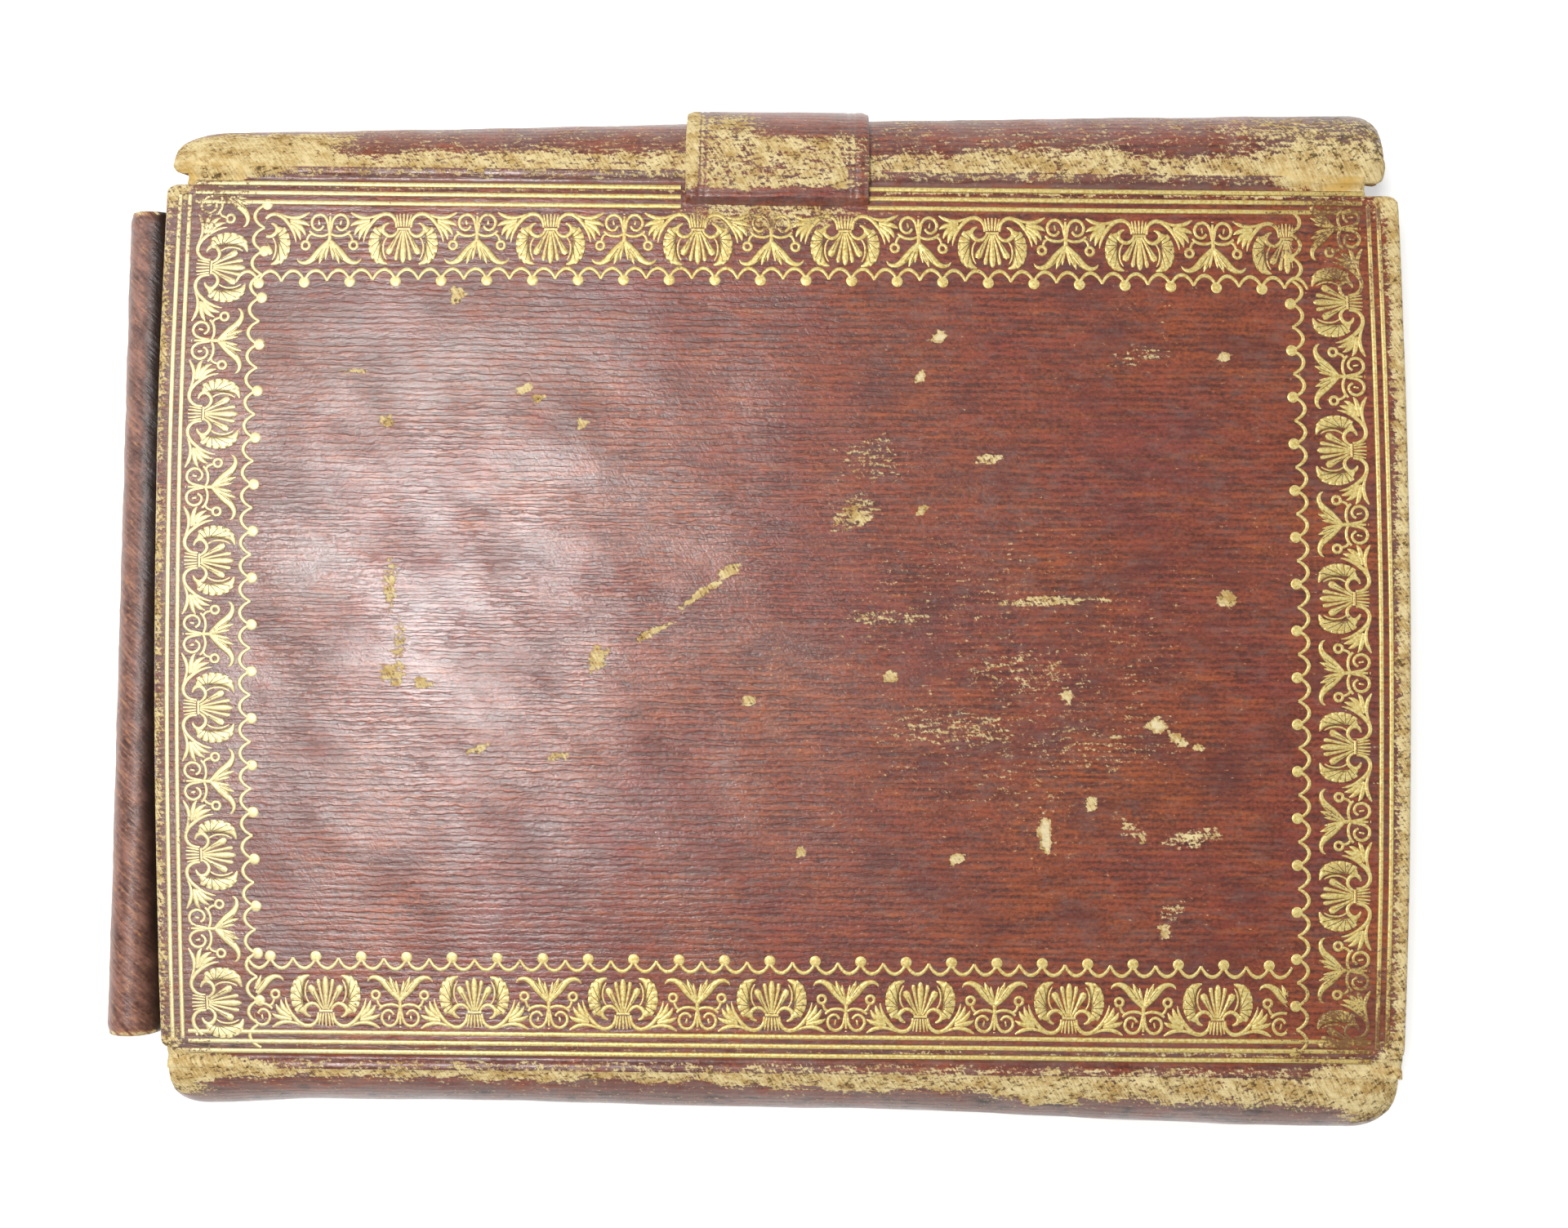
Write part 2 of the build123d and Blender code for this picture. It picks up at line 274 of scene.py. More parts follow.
def plan_place(u, v):
    """A place on the cover's plan inside its rubbed edge, from shares of its sides."""
    half_x, half_y = HALF_LENGTH - EDGE_ROUND, HALF_WIDTH - EDGE_SEAM
    round_in = CORNER - EDGE_ROUND
    y = (2 * v - 1) * half_y
    reach = half_x - SIDE_BOW * (2 * v - 1) ** 2
    reach += RIGHT_SWELL if u > 0.5 else LEFT_SWELL
    x = (2 * u - 1) * reach
    dx, dy = abs(x) - (reach - round_in), abs(y) - (half_y - round_in)
    if dx > 0 and dy > 0:
        pull = max(dx, dy) / hypot(dx, dy)
        x = (reach - round_in + dx * pull) * (1 if x > 0 else -1)
        y = (half_y - round_in + dy * pull) * (1 if y > 0 else -1)
    return x, y


def rim_normal(x, y):
    """The way out of the cover at a place on its rim, seen from above."""
    round_in = CORNER - EDGE_ROUND
    reach = HALF_LENGTH - EDGE_ROUND - SIDE_BOW * min(abs(y) / HALF_WIDTH, 1.0) ** 2
    reach += RIGHT_SWELL if x > 0 else LEFT_SWELL
    dx = max(abs(x) - (reach - round_in), 0.0) * (1 if x > 0 else -1)
    dy = max(abs(y) - (HALF_WIDTH - EDGE_SEAM - round_in), 0.0) * (1 if y > 0 else -1)
    return Vector((dx, dy, 0.0)).normalized()


def roll_over_edge(bm):
    """Carries a cover's sheet round its rubbed edge, down the board and in under it."""
    rim = [edge for edge in bm.edges if edge.is_boundary]
    normals = {}
    for vert in {v for edge in rim for v in edge.verts}:
        normals[vert] = rim_normal(vert.co.x, vert.co.y)
    arc_steps, wall_steps = 5, 3
    wall = COVER_DEPTH - EDGE_ROUND
    steps = []
    for n in range(arc_steps):
        a, b = (pi / 2 * k / arc_steps for k in (n, n + 1))
        steps.append((sin(b) - sin(a), EDGE_ROUND * (cos(b) - cos(a))))
    steps += [(0.0, -wall / wall_steps)] * wall_steps
    skin = bm.verts.layers.float_vector["skin"]
    wear = bm.verts.layers.float["wear"]
    for out, down in steps:
        rim, normals = next_rim(bm, rim, normals)
        for vert, normal in normals.items():
            vert.co += Vector((normal.x * out * EDGE_ROUND, normal.y * out * EDGE_SEAM, down))
            vert[skin] = vert[skin] + normal * hypot(out * EDGE_ROUND, down) * MM
            vert[wear] = min(vert[wear] + 0.03, 0.8)
    rim, normals = next_rim(bm, rim, normals)
    for vert in normals:
        vert.co.x = min(max(vert.co.x, PASTE_LOW[0]), PASTE_HIGH[0])
        vert.co.y = min(max(vert.co.y, PASTE_LOW[1]), PASTE_HIGH[1])
        vert[skin] = Vector((vert.co.x, vert.co.y, 0.0)) * MM
        vert[wear] = 0.0
    bmesh.ops.remove_doubles(bm, verts=list(normals), dist=1e-4)


def next_rim(bm, rim, normals):
    """Extrudes a rim of edges and hands on each new vertex with its old one's normal."""
    made = bmesh.ops.extrude_edge_only(bm, edges=rim)["geom"]
    new_edges = [item for item in made if isinstance(item, bmesh.types.BMEdge) and item.is_boundary]
    old_spots = {vert.co.to_tuple(5): normal for vert, normal in normals.items()}
    new_verts = {vert for edge in new_edges for vert in edge.verts}
    return new_edges, {vert: old_spots[vert.co.to_tuple(5)] for vert in new_verts}


def cover_sheet(columns, rows, wear_of, soil_and_light_of, height_of, lean):
    """A cover's leather, outer face up; its plan leans out of square as the book has settled."""
    def place(u, v):
        x, y = plan_place(u, v)
        on_lean = x - lean * slant(x) * y
        spot = Vector((x, y, TOP + height_of(on_lean, y)))
        return spot, (on_lean * MM, y * MM), wear_of(on_lean, y), soil_and_light_of(on_lean, y)

    bm = dressed_grid(columns, rows, place)
    roll_over_edge(bm)
    for vert in bm.verts:
        vert.co.x -= lean * slant(vert.co.x) * vert.co.y
    bmesh.ops.recalc_face_normals(bm, faces=bm.faces)
    return bm


# Half rounds: the spine and the flap
Roll = namedtuple("Roll", "low high radius lead sweep side left_end right_end reach nips")


def spine_reach(x):
    """The spine lies flatter towards its left end and stands fuller at its right."""
    corner = 0.08 * (1 - smooth(-70.0, -58.0, x))
    return 0.86 + corner + 0.08 * smooth(-40.0, 0.0, x) + 0.25 * smooth(5.0, 70.0, x)


def flap_reach(x):
    """The flap is pressed in at its left end and bellies out towards its right."""
    return 1.0 + (0.20 if x > 0 else 0.27) * x / 75.0


# An end is its length and its drop, and a nip how far an end is drawn in beside the joint, within NIP_RISE
NO_END = (1.0, 0.0)
NIP_RISE = 3.6
SPINE = Roll(SPINE_LOW[0] + 1.3, SPINE_HIGH[0] + 0.5, SPINE_RADIUS, 0.0, 180.0, -1,
             (4.0, 2.2), (6.0, 3.2), spine_reach, (0.0, 0.0))
FLAP = Roll(FLAP_LOW[0], FLAP_HIGH[0], FLAP_RADIUS, FLAP_LEAD, 150.0, 1,
            (7.0, 3.2), (3.6, 2.2), flap_reach, (2.0, 1.4))


def end_drop(gap, length, depth):
    """How far a rounded end falls away at a gap from its tip."""
    if gap >= length:
        return 0.0
    return depth * (1 - sqrt(max(1 - (1 - gap / length) ** 2, 0.0)))


def half_round(roll, x, s, inset):
    """Out and up from the joint, s millimetres round a roll and inset below its face."""
    radius = roll.radius - inset
    radius -= end_drop(x - roll.low, *roll.left_end) + end_drop(roll.high - x, *roll.right_end)
    angle = max(s - roll.lead, 0.0) / roll.radius
    out = min(s, roll.lead) + radius * sin(angle)
    return out * roll.reach(x), radius * cos(angle)


def roll_sheet(roll, columns, rows, wall, inset, wear_of, soil_and_light_of):
    """Leather moulded round a roll, with its wall inwards from the inset given."""
    around = roll.lead + radians(roll.sweep) * roll.radius

    def place(u, v):
        s = v * around
        low = roll.low + end_drop(s, NIP_RISE, roll.nips[0])
        high = roll.high - end_drop(s, NIP_RISE, roll.nips[1])
        x = low + u * (high - low)
        worn = wear_of(x, s)
        fuzz = 0.10 * mottle(x, s, 1.4, 6.0) + 0.06 * mottle(x, s, 0.6, 6.5)
        puff = 0.12 * mottle(x, s, 7.0, 4.0) + fuzz * smooth(0.1, 0.7, worn)
        out, up = half_round(roll, x, s, inset - puff)
        spot = Vector((x, roll.side * (ROLL_Y + out), MID + up))
        return spot, (x * MM, roll.side * (ROLL_Y + s) * MM), worn, soil_and_light_of(x, s)

    bm = dressed_grid(columns, rows, place)
    bmesh.ops.recalc_face_normals(bm, faces=bm.faces)
    thicken(bm, wall, Vector((0, roll.side * (ROLL_Y + roll.lead), MID)))
    return bm


def thicken(bm, thickness, middle):
    """Gives a sheet its wall, inwards from the face that looks away from the middle."""
    face = max(bm.faces, key=lambda f: f.calc_center_median().z)
    if face.normal.dot(face.calc_center_median() - middle) < 0:
        bmesh.ops.reverse_faces(bm, faces=bm.faces)
    bmesh.ops.solidify(bm, geom=bm.faces[:], thickness=thickness)


def spine_wear(x, s):
    """The spine is rubbed to the hide along its front ridge and at both ends."""
    patchy = mottle(x, s, 5.0, 11.0)
    left, right = x - SPINE.low, SPINE.high - x
    broad = 2.2 + 1.8 * smooth(-30.0, 60.0, x) + 0.9 * patchy
    ridge = 1 - smooth(0.7 * broad, 1.25 * broad, s)
    worn = 0.20 + 0.60 * ridge + 0.12 * patchy + 0.08 * mottle(x, s, 1.6, 13.0)
    worn += 0.75 * (1 - smooth(1.0, 7.0 + 3.0 * patchy, left)) * (1 - smooth(4.0, 7.0, s))
    worn += 0.70 * (1 - smooth(1.0, 14.0 + 4.0 * patchy, right)) * (1 - smooth(5.0, 9.0, s))
    patch = hypot((x - 34.0) / 5.0, (s - 2.0) / 3.4) + 0.25 * mottle(x, s, 1.5, 2.5)
    return min(max(worn, 1.1 * (1 - smooth(0.7, 1.1, patch))), 1.1)


def spine_grime_and_shade(x, s):
    """The spine is grimy. Below its ridge, where it turns down, painted reflection and shade grey and darken
    it further.
    """
    # Painted reflection and shade over the grime: greyer and darker below the ridge, where the spine turns
    # down
    return 0.4 + 0.35 * mottle(x, s, 3.0, 12.0) + 0.35 * smooth(2.5, 5.0, s)


def flap_wear(x, s):
    """The flap is rubbed along its top ridge, bare at its left end and patchy at its right."""
    patchy = mottle(x, s, 6.0, 21.0)
    broad = 3.2 + 0.3 * smooth(0.0, 60.0, x) + 1.1 * patchy
    ridge = 1 - smooth(0.65 * broad, 1.2 * broad, s)
    worn = 0.30 + 0.44 * ridge + 0.14 * patchy + 0.08 * mottle(x, s, 1.6, 23.0)
    worn += 0.7 * (1 - smooth(-62.0, -48.0 + 4.0 * patchy, x)) * (1 - smooth(5.0, 10.0, s))
    worn += 0.26 * smooth(44.0, 64.0, x + 3.0 * patchy) * (1 - smooth(7.0, 11.0, s))
    return min(worn, 1.1)


def flap_soil(x, s):
    """Dark at the flap's right end; golden where the hide is freshly torn beside the joint at both ends."""
    ragged = 1.6 * mottle(x, s, 2.2, 24.0) + 0.8 * mottle(x, s, 0.8, 25.0)
    torn = smooth(57.0, 62.0, x + 2.0 * ragged) + 0.7 * (1 - smooth(-66.0, -58.0, x + 2.0 * ragged))
    torn *= 1 - smooth(0.9, 3.2, s + ragged)
    return 0.25 + 0.3 * mottle(x, s, 4.0, 22.0) + 0.6 * smooth(54.0, 70.0, x) - 0.8 * torn


def lining_wear(x, s):
    """Linings are hidden and unworn."""
    return -1.0


# Joints, strap and sleeve
Joint = namedtuple("Joint", "node y z up low high fixed moving")
JOINTS = (
    Joint("front_joint", -HINGE_Y, TOP, 1, JOINT_LOW[0] - 0.2, JOINT_HIGH[0] + 2.0, "pages", "front_cover"),
    Joint("back_joint", -HINGE_Y, 0.0, -1, JOINT_LOW[0], JOINT_HIGH[0], "pages", "back_cover"),
    Joint("flap_joint", HINGE_Y, TOP, 1, JOINT_LOW[0] + 0.8, JOINT_HIGH[0] - 3.2, "front_cover", "flap"),
)
# Half a groove's width, its depth at the sides, what its middle adds, and the leather's thickness
GROOVE_HALF = 1.45
GROOVE_EDGE = 0.12
GROOVE_DEPTH = 0.40
GROOVE_WALL = 0.5


def joint_sheet(joint):
    """Leather that dips in a shallow groove along a hinge line and runs under both neighbours."""
    def place(u, v):
        x = joint.low + u * (joint.high - joint.low)
        across = 2 * v - 1
        patchy = mottle(x, across, 4.0, 31.0)
        dip = GROOVE_EDGE + (GROOVE_DEPTH + 0.06 * patchy) * cos(pi / 2 * across) ** 6
        y = joint.y + GROOVE_HALF * across
        spot = Vector((x, y, joint.z - joint.up * dip))
        ends = min(x - joint.low, joint.high - x)
        outward = across * (1 if joint.y > 0 else -1)
        worn = -0.1 + 0.2 * patchy + 0.55 * smooth(-0.2, 0.5, outward)
        worn += 0.9 * (1 - smooth(4.0, 14.0 + 4.0 * patchy, ends))
        worn = min(worn, 1.0)
        soiled_or_lit = 0.3 + 0.3 * patchy
        if joint.y > 0:
            torn = (1.0 if x > 0 else 0.4) + 1.2 * mottle(x, y, 2.2, 32.0)
            soiled_or_lit += 0.25 - torn * (1 - smooth(6.0, 13.0 + 4.0 * patchy, ends))
        return spot, (x * MM, y * MM), worn, soiled_or_lit

    bm = dressed_grid(240, 12, place)
    bmesh.ops.recalc_face_normals(bm, faces=bm.faces)
    face = bm.faces[:][0]
    if face.normal.z * joint.up < 0:
        bmesh.ops.reverse_faces(bm, faces=bm.faces)
    bmesh.ops.solidify(bm, geom=bm.faces[:], thickness=GROOVE_WALL)
    return bm


def strap_path(s):
    """Out and up, from the slit along the strap's outer face: flat first, then round the flap."""
    flat = ROLL_Y + FLAP_LEAD - SLIT_Y
    radius = TOP / 2 + STRAP_THICK
    if s <= flat:
        return SLIT_Y + s, TOP + STRAP_THICK
    angle = (s - flat) / radius
    return SLIT_Y + flat + radius * sin(angle), MID + radius * cos(angle)


STRAP_SWEEP = 146.0
STRAP_LINES = (1.7, 2.4)
STRAP_LINE_HALF = 0.24


def strap_sheet():
    """The strap, tucked in its slit and bent round the flap, with two blind lines along each side."""
    around = ROLL_Y + FLAP_LEAD - SLIT_Y + radians(STRAP_SWEEP) * (TOP / 2 + STRAP_THICK)

    def place(u, v):
        s = v * around
        y, z = strap_path(s)
        edge = STRAP_HALF * (1 - abs(2 * u - 1))
        faint = 0.75 + 0.4 * mottle(u * 20, s, 2.0, 45.0)
        pressed_or_rim_shade = max(max(1 - abs(edge - line) / STRAP_LINE_HALF for line in STRAP_LINES), 0.0) * faint
        puff = 0.08 * mottle(u * 20, s, 6.0, 41.0) - 0.16 * pressed_or_rim_shade - 0.25 * (1 - smooth(0.0, 0.8, edge))
        tuck = 1.1 * (1 - smooth(0.0, 0.9, s))
        x = STRAP_X + (u - 0.5) * 2 * STRAP_HALF * (1 + 0.006 * mottle(s, 0.0, 4.0, 42.0))
        middle = Vector((x, ROLL_Y + FLAP_LEAD, MID))
        spot = Vector((x, y, z))
        out = Vector((0, 0, 1)) if y < middle.y else (spot - middle).normalized()
        spot += out * puff - Vector((0, 0, tuck))
        worn = strap_wear(x - STRAP_X, s, edge, pressed_or_rim_shade)
        return spot, (x * MM, (SLIT_Y + s) * MM), worn, 0.25 + 0.5 * pressed_or_rim_shade

    bm = dressed_grid(90, 110, place)
    bmesh.ops.recalc_face_normals(bm, faces=bm.faces)
    thicken(bm, STRAP_THICK * 0.95, Vector((STRAP_X, ROLL_Y, MID)))
    return bm


def strap_wear(x, s, edge, pressed_or_rim_shade):
    """The strap is bare over the flap's ridge and keeps its red at its tucked end and far round."""
    patchy = mottle(x, s, 3.0, 43.0)
    broad = mottle(x, s, 7.0, 44.0)
    worn = -0.15 + 0.85 * smooth(1.4, 2.6, s + 0.6 * patchy) + 0.22 * patchy
    worn -= 0.55 * smooth(8.2, 9.6, s + 1.2 * broad) * smooth(-5.0, 1.0, x + 3.0 * patchy)
    worn -= 0.35 * smooth(11.0, 15.0, s) + 0.7 * pressed_or_rim_shade
    if edge < 1.5:
        worn += 0.3 if x < 0 else -0.35
    return worn


SLEEVE_RADIUS = (SLEEVE_HIGH[2] - SLEEVE_LOW[2]) / 2
SLEEVE_WALL = 0.9
SLEEVE_MOUTH = frame["record"]["mounts"][0]
SLEEVE_LEAN = asin(SLEEVE_MOUTH["axis"][0])
SLEEVE_X = SLEEVE_MOUTH["pos_m"][0] / MM
SLEEVE_LENGTH = SLEEVE_MOUTH["dims"]["length_mm"]
SLEEVE_SLIP = -1.0
SLEEVE_TURN = 352.0
SLEEVE_RING = 1.6


def sleeve_sheet():
    """A strip of leather pasted under the pages' margin and rolled up into a tube."""
    tail = SLEEVE_HIGH[0] - SLEEVE_X
    around = tail + radians(SLEEVE_TURN) * SLEEVE_RADIUS

    def place(u, v):
        along = (u - 0.5) * SLEEVE_LENGTH
        s = v * around
        shift = along * sin(SLEEVE_LEAN)
        gap = SLEEVE_LENGTH / 2 - abs(along)
        bumpy = 0.07 * mottle(along, s, 3.0, 51.0) + 0.05 * mottle(along, s, 1.2, 52.0)
        radius = SLEEVE_RADIUS + bumpy - 0.25 * (1 - smooth(0.0, 1.2, gap))
        if s < tail:
            x, z = (tail - shift) * (1 - s / tail), -SLEEVE_RADIUS
        else:
            angle = (s - tail) / SLEEVE_RADIUS
            x, z = -radius * sin(angle), -radius * cos(angle)
        y = along * cos(SLEEVE_LEAN) + SLEEVE_SLIP
        spot = Vector((SLEEVE_X + shift + x, y, SLEEVE_LOW[2] + SLEEVE_RADIUS + z))
        worn = -0.05 + 0.15 * mottle(along, s, 9.0, 53.0) + 1.0 * (1 - smooth(0.2, 0.9, gap))
        ring = 1 - smooth(0.1, 0.3, abs(gap - SLEEVE_RING))
        cover_x = SIDE_BOW * (y / HALF_WIDTH) ** 2 - HALF_LENGTH - LEFT_SWELL
        cover_x -= LEAN * slant(-HALF_LENGTH) * y
        # Painted shade: darker within a few millimetres of the cover's edge, where the cover shades the tube
        cover_shade = smooth(-4.9, -2.6, spot.x - cover_x + 0.4 * mottle(along, s, 2.0, 54.0))
        # Painted highlight: the tube's outer side, turned to the light, is paled
        outer = 1 - smooth(0.6 * pi, 0.95 * pi, (s - tail) / SLEEVE_RADIUS)
        # Fewer rubbed fibres show through the painted shade
        worn -= 0.3 * cover_shade
        # The soil value carries a faint ring near each end, the painted shade and the painted highlight
        return spot, (s * MM, along * MM), worn, 0.2 + 0.7 * max(0.3 * ring, cover_shade) - 0.5 * outer

    bm = dressed_grid(260, 60, place)
    bmesh.ops.recalc_face_normals(bm, faces=bm.faces)
    thicken(bm, SLEEVE_WALL, Vector((SLEEVE_X, 0, MID - 1)))
    return bm


# Gilt tooling: strokes as points of x, y and half width, in millimetres
# Palmette and link stand on x = 0 with y = 0 at the band's outer side, and their halves are mirrored
PALMETTE_MIDDLE = (
    ((0, 2.1, 0.14), (0, 3.2, 0.24), (0, 4.4, 0.38), (0, 5.2, 0.42), (0, 5.85, 0.3), (0, 6.1, 0.12)),
    ((-0.82, 1.87, 0.17), (0.82, 1.87, 0.17)),
    ((0, 1.6, 0.12), (0, 0.9, 0.16), (0, 0.0, 0.1)),
)
PALMETTE_HALF = (
    ((0.14, 2.1, 0.1), (0.48, 3.5, 0.15), (0.76, 4.8, 0.2), (0.86, 5.4, 0.28), (0.88, 5.75, 0.18)),
    ((0.3, 2.05, 0.12), (0.85, 3.0, 0.2), (1.4, 4.0, 0.36), (1.74, 4.65, 0.48), (1.92, 4.98, 0.28)),
    ((2.0, 2.85, 0.1), (2.35, 3.4, 0.12), (2.5, 4.3, 0.13), (2.35, 5.1, 0.12), (2.05, 5.65, 0.08)),
    ((0.6, 1.9, 0.12), (1.0, 2.5, 0.2), (1.6, 2.8, 0.24), (2.25, 2.55, 0.28), (2.6, 2.0, 0.28),
     (2.4, 1.45, 0.24), (1.85, 1.15, 0.12)),
    ((2.5, 1.75, 0.3), (3.0, 2.05, 0.5), (3.4, 2.8, 0.66), (3.52, 3.8, 0.74), (3.4, 4.8, 0.72),
     (3.05, 5.55, 0.58), (2.55, 6.0, 0.32), (1.95, 6.2, 0.1)),
    ((3.2, 2.2, 0.3), (3.6, 1.92, 0.38), (3.7, 1.86, 0.3)),
    ((3.5, 2.9, 0.34), (4.0, 2.7, 0.44), (4.1, 2.67, 0.36)),
    ((3.6, 3.6, 0.36), (4.18, 3.56, 0.46), (4.28, 3.56, 0.38)),
    ((3.55, 4.35, 0.36), (4.12, 4.46, 0.46), (4.22, 4.48, 0.38)),
    ((3.3, 5.1, 0.34), (3.82, 5.3, 0.44), (3.92, 5.34, 0.36)),
    ((2.95, 5.6, 0.3), (3.28, 5.94, 0.38), (3.34, 6.0, 0.3)),
    ((0.92, 1.7, 0.16), (1.0, 0.95, 0.21), (1.45, 0.3, 0.25), (2.2, 0.03, 0.27), (3.05, 0.3, 0.27),
     (3.9, 1.1, 0.26), (4.5, 2.0, 0.22), (4.85, 2.9, 0.15), (4.95, 3.5, 0.06)),
    ((2.9, 0.05, 0.14), (4.0, 0.42, 0.19), (5.0, 0.5, 0.26), (5.9, 0.25, 0.26), (6.6, -0.15, 0.1)),
    ((4.1, 1.2, 0.2), (5.0, 1.9, 0.38), (5.35, 2.6, 0.28), (5.5, 3.2, 0.06)),
    ((4.3, 1.0, 0.2), (5.3, 1.55, 0.38), (5.85, 2.1, 0.28), (6.1, 2.65, 0.06)),
    ((4.2, 0.8, 0.2), (5.3, 1.0, 0.34), (6.1, 1.2, 0.28), (6.6, 1.5, 0.06)),
    ((0.3, 1.6, 0.12), (0.4, 0.9, 0.16), (0.48, 0.0, 0.09)),
    ((0.6, 1.6, 0.12), (0.74, 0.9, 0.15), (0.9, 0.1, 0.08)),
)
PALMETTE_CUTS = (
    ((2.85, 3.35), (3.7, 5.2)), ((2.9, 3.2), (3.95, 4.1)), ((2.9, 3.05), (4.05, 3.15)),
    ((2.85, 2.85), (3.8, 2.3)), ((2.75, 2.5), (3.35, 1.95)), ((2.75, 4.1), (3.1, 5.75)),
    ((1.0, 3.1), (1.55, 4.3)),
)
LINK_MIDDLE = (
    ((0, 0.3, 0.14), (0, 1.4, 0.19), (0, 2.6, 0.23), (0, 3.4, 0.28)),
    ((0, -0.04, 0.17), (0, 0.06, 0.14)),
)
LINK_HALF = (
    ((0.1, 2.2, 0.16), (0.22, 1.5, 0.18), (0.4, 0.75, 0.2), (0.9, 0.2, 0.21), (1.6, 0.17, 0.21),
     (2.15, 0.65, 0.21), (2.25, 1.3, 0.2), (1.85, 1.9, 0.19), (1.2, 1.98, 0.18), (0.8, 1.5, 0.17)),
    ((1.25, 1.08, 0.36), (1.45, 1.12, 0.36)),
    ((0.05, 2.4, 0.16), (0.6, 2.68, 0.19), (1.4, 2.72, 0.2), (2.1, 2.5, 0.2), (2.55, 2.1, 0.16)),
    ((2.2, 2.45, 0.16), (2.6, 2.7, 0.18), (2.84, 3.35, 0.16)),
    ((0.1, 3.35, 0.26), (0.7, 4.0, 0.38), (1.35, 4.75, 0.48), (2.0, 5.5, 0.44), (2.65, 5.95, 0.34),
     (3.3, 6.05, 0.25), (3.8, 5.8, 0.16), (3.98, 5.5, 0.06)),
    ((0.15, 3.6, 0.2), (0.58, 4.5, 0.31), (0.98, 5.4, 0.31), (1.25, 6.15, 0.06)),
    ((0.08, 3.6, 0.16), (0.3, 4.5, 0.22), (0.42, 5.1, 0.2), (0.48, 5.65, 0.05)),
)
LINK_CUTS = (
    ((0.75, 4.25), (1.75, 5.6)), ((0.4, 4.3), (0.95, 5.6)),
)
RING_CENTRE, RING_RADIUS, RING_HALF = (2.98, 3.88), 0.48, 0.2

STROKE_SWELL = 1.18
GILT_FLAT = 0.4
GILT_MOST = 0.11
GILT_SINK = 0.02
RIM_HEIGHT = 0.006
CUT_HALF = 0.05
BALL = 0.72
BALL_FLAT = 0.14


def ring_stroke():
    """A small closed ring on its stem."""
    turns = [pi * n / 5 for n in range(11)]
    x, y = RING_CENTRE
    return [(x + RING_RADIUS * cos(a), y + RING_RADIUS * sin(a), RING_HALF) for a in turns]


def both_halves(middle, half):
    """A tool's strokes, its half mirrored, as fat as the gold spread under the hot tool."""
    strokes = list(middle) + list(half) + [[(-x, y, wide) for x, y, wide in stroke] for stroke in half]
    return [[(x, y, wide * STROKE_SWELL) for x, y, wide in stroke] for stroke in strokes]


def cut_strokes(cuts):
    """Fine dark lines engraved in a tool, for both of its halves."""
    return [[(side * x, y, CUT_HALF) for x, y in cut] for cut in cuts for side in (1, -1)]


def stroke_mesh(name, strokes, steps=2):
    """Flattened round strokes of changing width, as one mesh in millimetres."""
    curve = bpy.data.curves.new(name, "CURVE")
    curve.dimensions = "3D"
    curve.bevel_depth = 1.0
    curve.bevel_resolution = 1
    curve.resolution_u = steps
    curve.use_fill_caps = True
    for stroke in strokes:
        spline = curve.splines.new("BEZIER")
        spline.bezier_points.add(len(stroke) - 1)
        for point, (x, y, half) in zip(spline.bezier_points, stroke):
            point.co = (x, y, 0)
            point.radius = half
            point.handle_left_type = point.handle_right_type = "AUTO"
    holder = bpy.data.objects.new(name, curve)
    bpy.context.scene.collection.objects.link(holder)
    bpy.context.view_layer.update()
    mesh = bpy.data.meshes.new_from_object(holder.evaluated_get(bpy.context.evaluated_depsgraph_get()))
    bpy.data.objects.remove(holder)
    bpy.data.curves.remove(curve)
    for vert in mesh.vertices:
        vert.co.z = max(min(vert.co.z * GILT_FLAT, GILT_MOST), -GILT_MOST)
    return mesh


def ball_mesh():
    """The round dot of the scalloped frame, as a low button."""
    bm = bmesh.new()
    bmesh.ops.create_uvsphere(bm, u_segments=14, v_segments=8, radius=BALL)
    bmesh.ops.scale(bm, vec=(1, 1, BALL_FLAT), verts=bm.verts)
    mesh = bpy.data.meshes.new("ball_tool")
    bm.to_mesh(mesh)
    bm.free()
    return mesh


# Places of the tooling on the cover, in millimetres from its middle
FILLET_LEFT, FILLET_RIGHT = -74.91, 74.3
FILLET_LEFT_BOW, FILLET_RIGHT_BOW = 0.34, 0.3
FILLET_SIDE_PITCH = 1.22
FILLET_LONG = 53.1
FILLET_LONG_ENDS = -73.0, 72.4
FILLET_LONG_PITCH = 1.16
FILLET_HALF = 0.34
SIDE_RUN = 51.6
ROLL_LEFT, ROLL_RIGHT = -73.05, 72.0
ROLL_TOP, ROLL_BOTTOM = 49.3, 50.05
ROLL_GAP = 0.9
SCALLOP_LEFT, SCALLOP_RIGHT = -64.85, 63.2
SCALLOP_LONG = 41.7
SCALLOP_PITCH = 2.8
SCALLOP_RISE = 1.3
# Corners where gold is lost: x, y, reach, share
GILT_CORNERS = ((74, 52, 24, 0.36), (75, -52, 22, 0.36), (-74, 52, 14, 0.26), (-74, -52, 10, 0.2))


def tooled(x, y):
    """Where the finisher's tool came down: drawn in at the corners, and leaning, most at the right."""
    drawn = x * (1 - 0.011 * (y / SIDE_RUN) ** 2)
    return drawn - 0.011 * (1 + x / 137.0) * y, y


def sprung(x):
    """How far the top band springs out along its middle."""
    return 0.5 * (1 - (x / 66.0) ** 2)


def drawn_in(y):
    """How far the left band comes in towards the corners."""
    return 0.75 * (y / 45.0) ** 2 - 0.25


def gilt_loss(x, y):
    """Gold lost to handling: most at the right corners, some at the left ones and round the slit."""
    gone = 0.10 + 0.10 * mottle(x, y, 13.0, 71.0)
    for cx, cy, reach, deep in GILT_CORNERS:
        gone += deep * (1 - smooth(0.25, 1.0, hypot(x - cx, y - cy) / reach))
    near_slit = hypot((x - STRAP_X) / (STRAP_HALF + 4.0), (y - SLIT_Y) / 4.0)
    return gone + 0.3 * (1 - smooth(0.5, 1.1, near_slit))


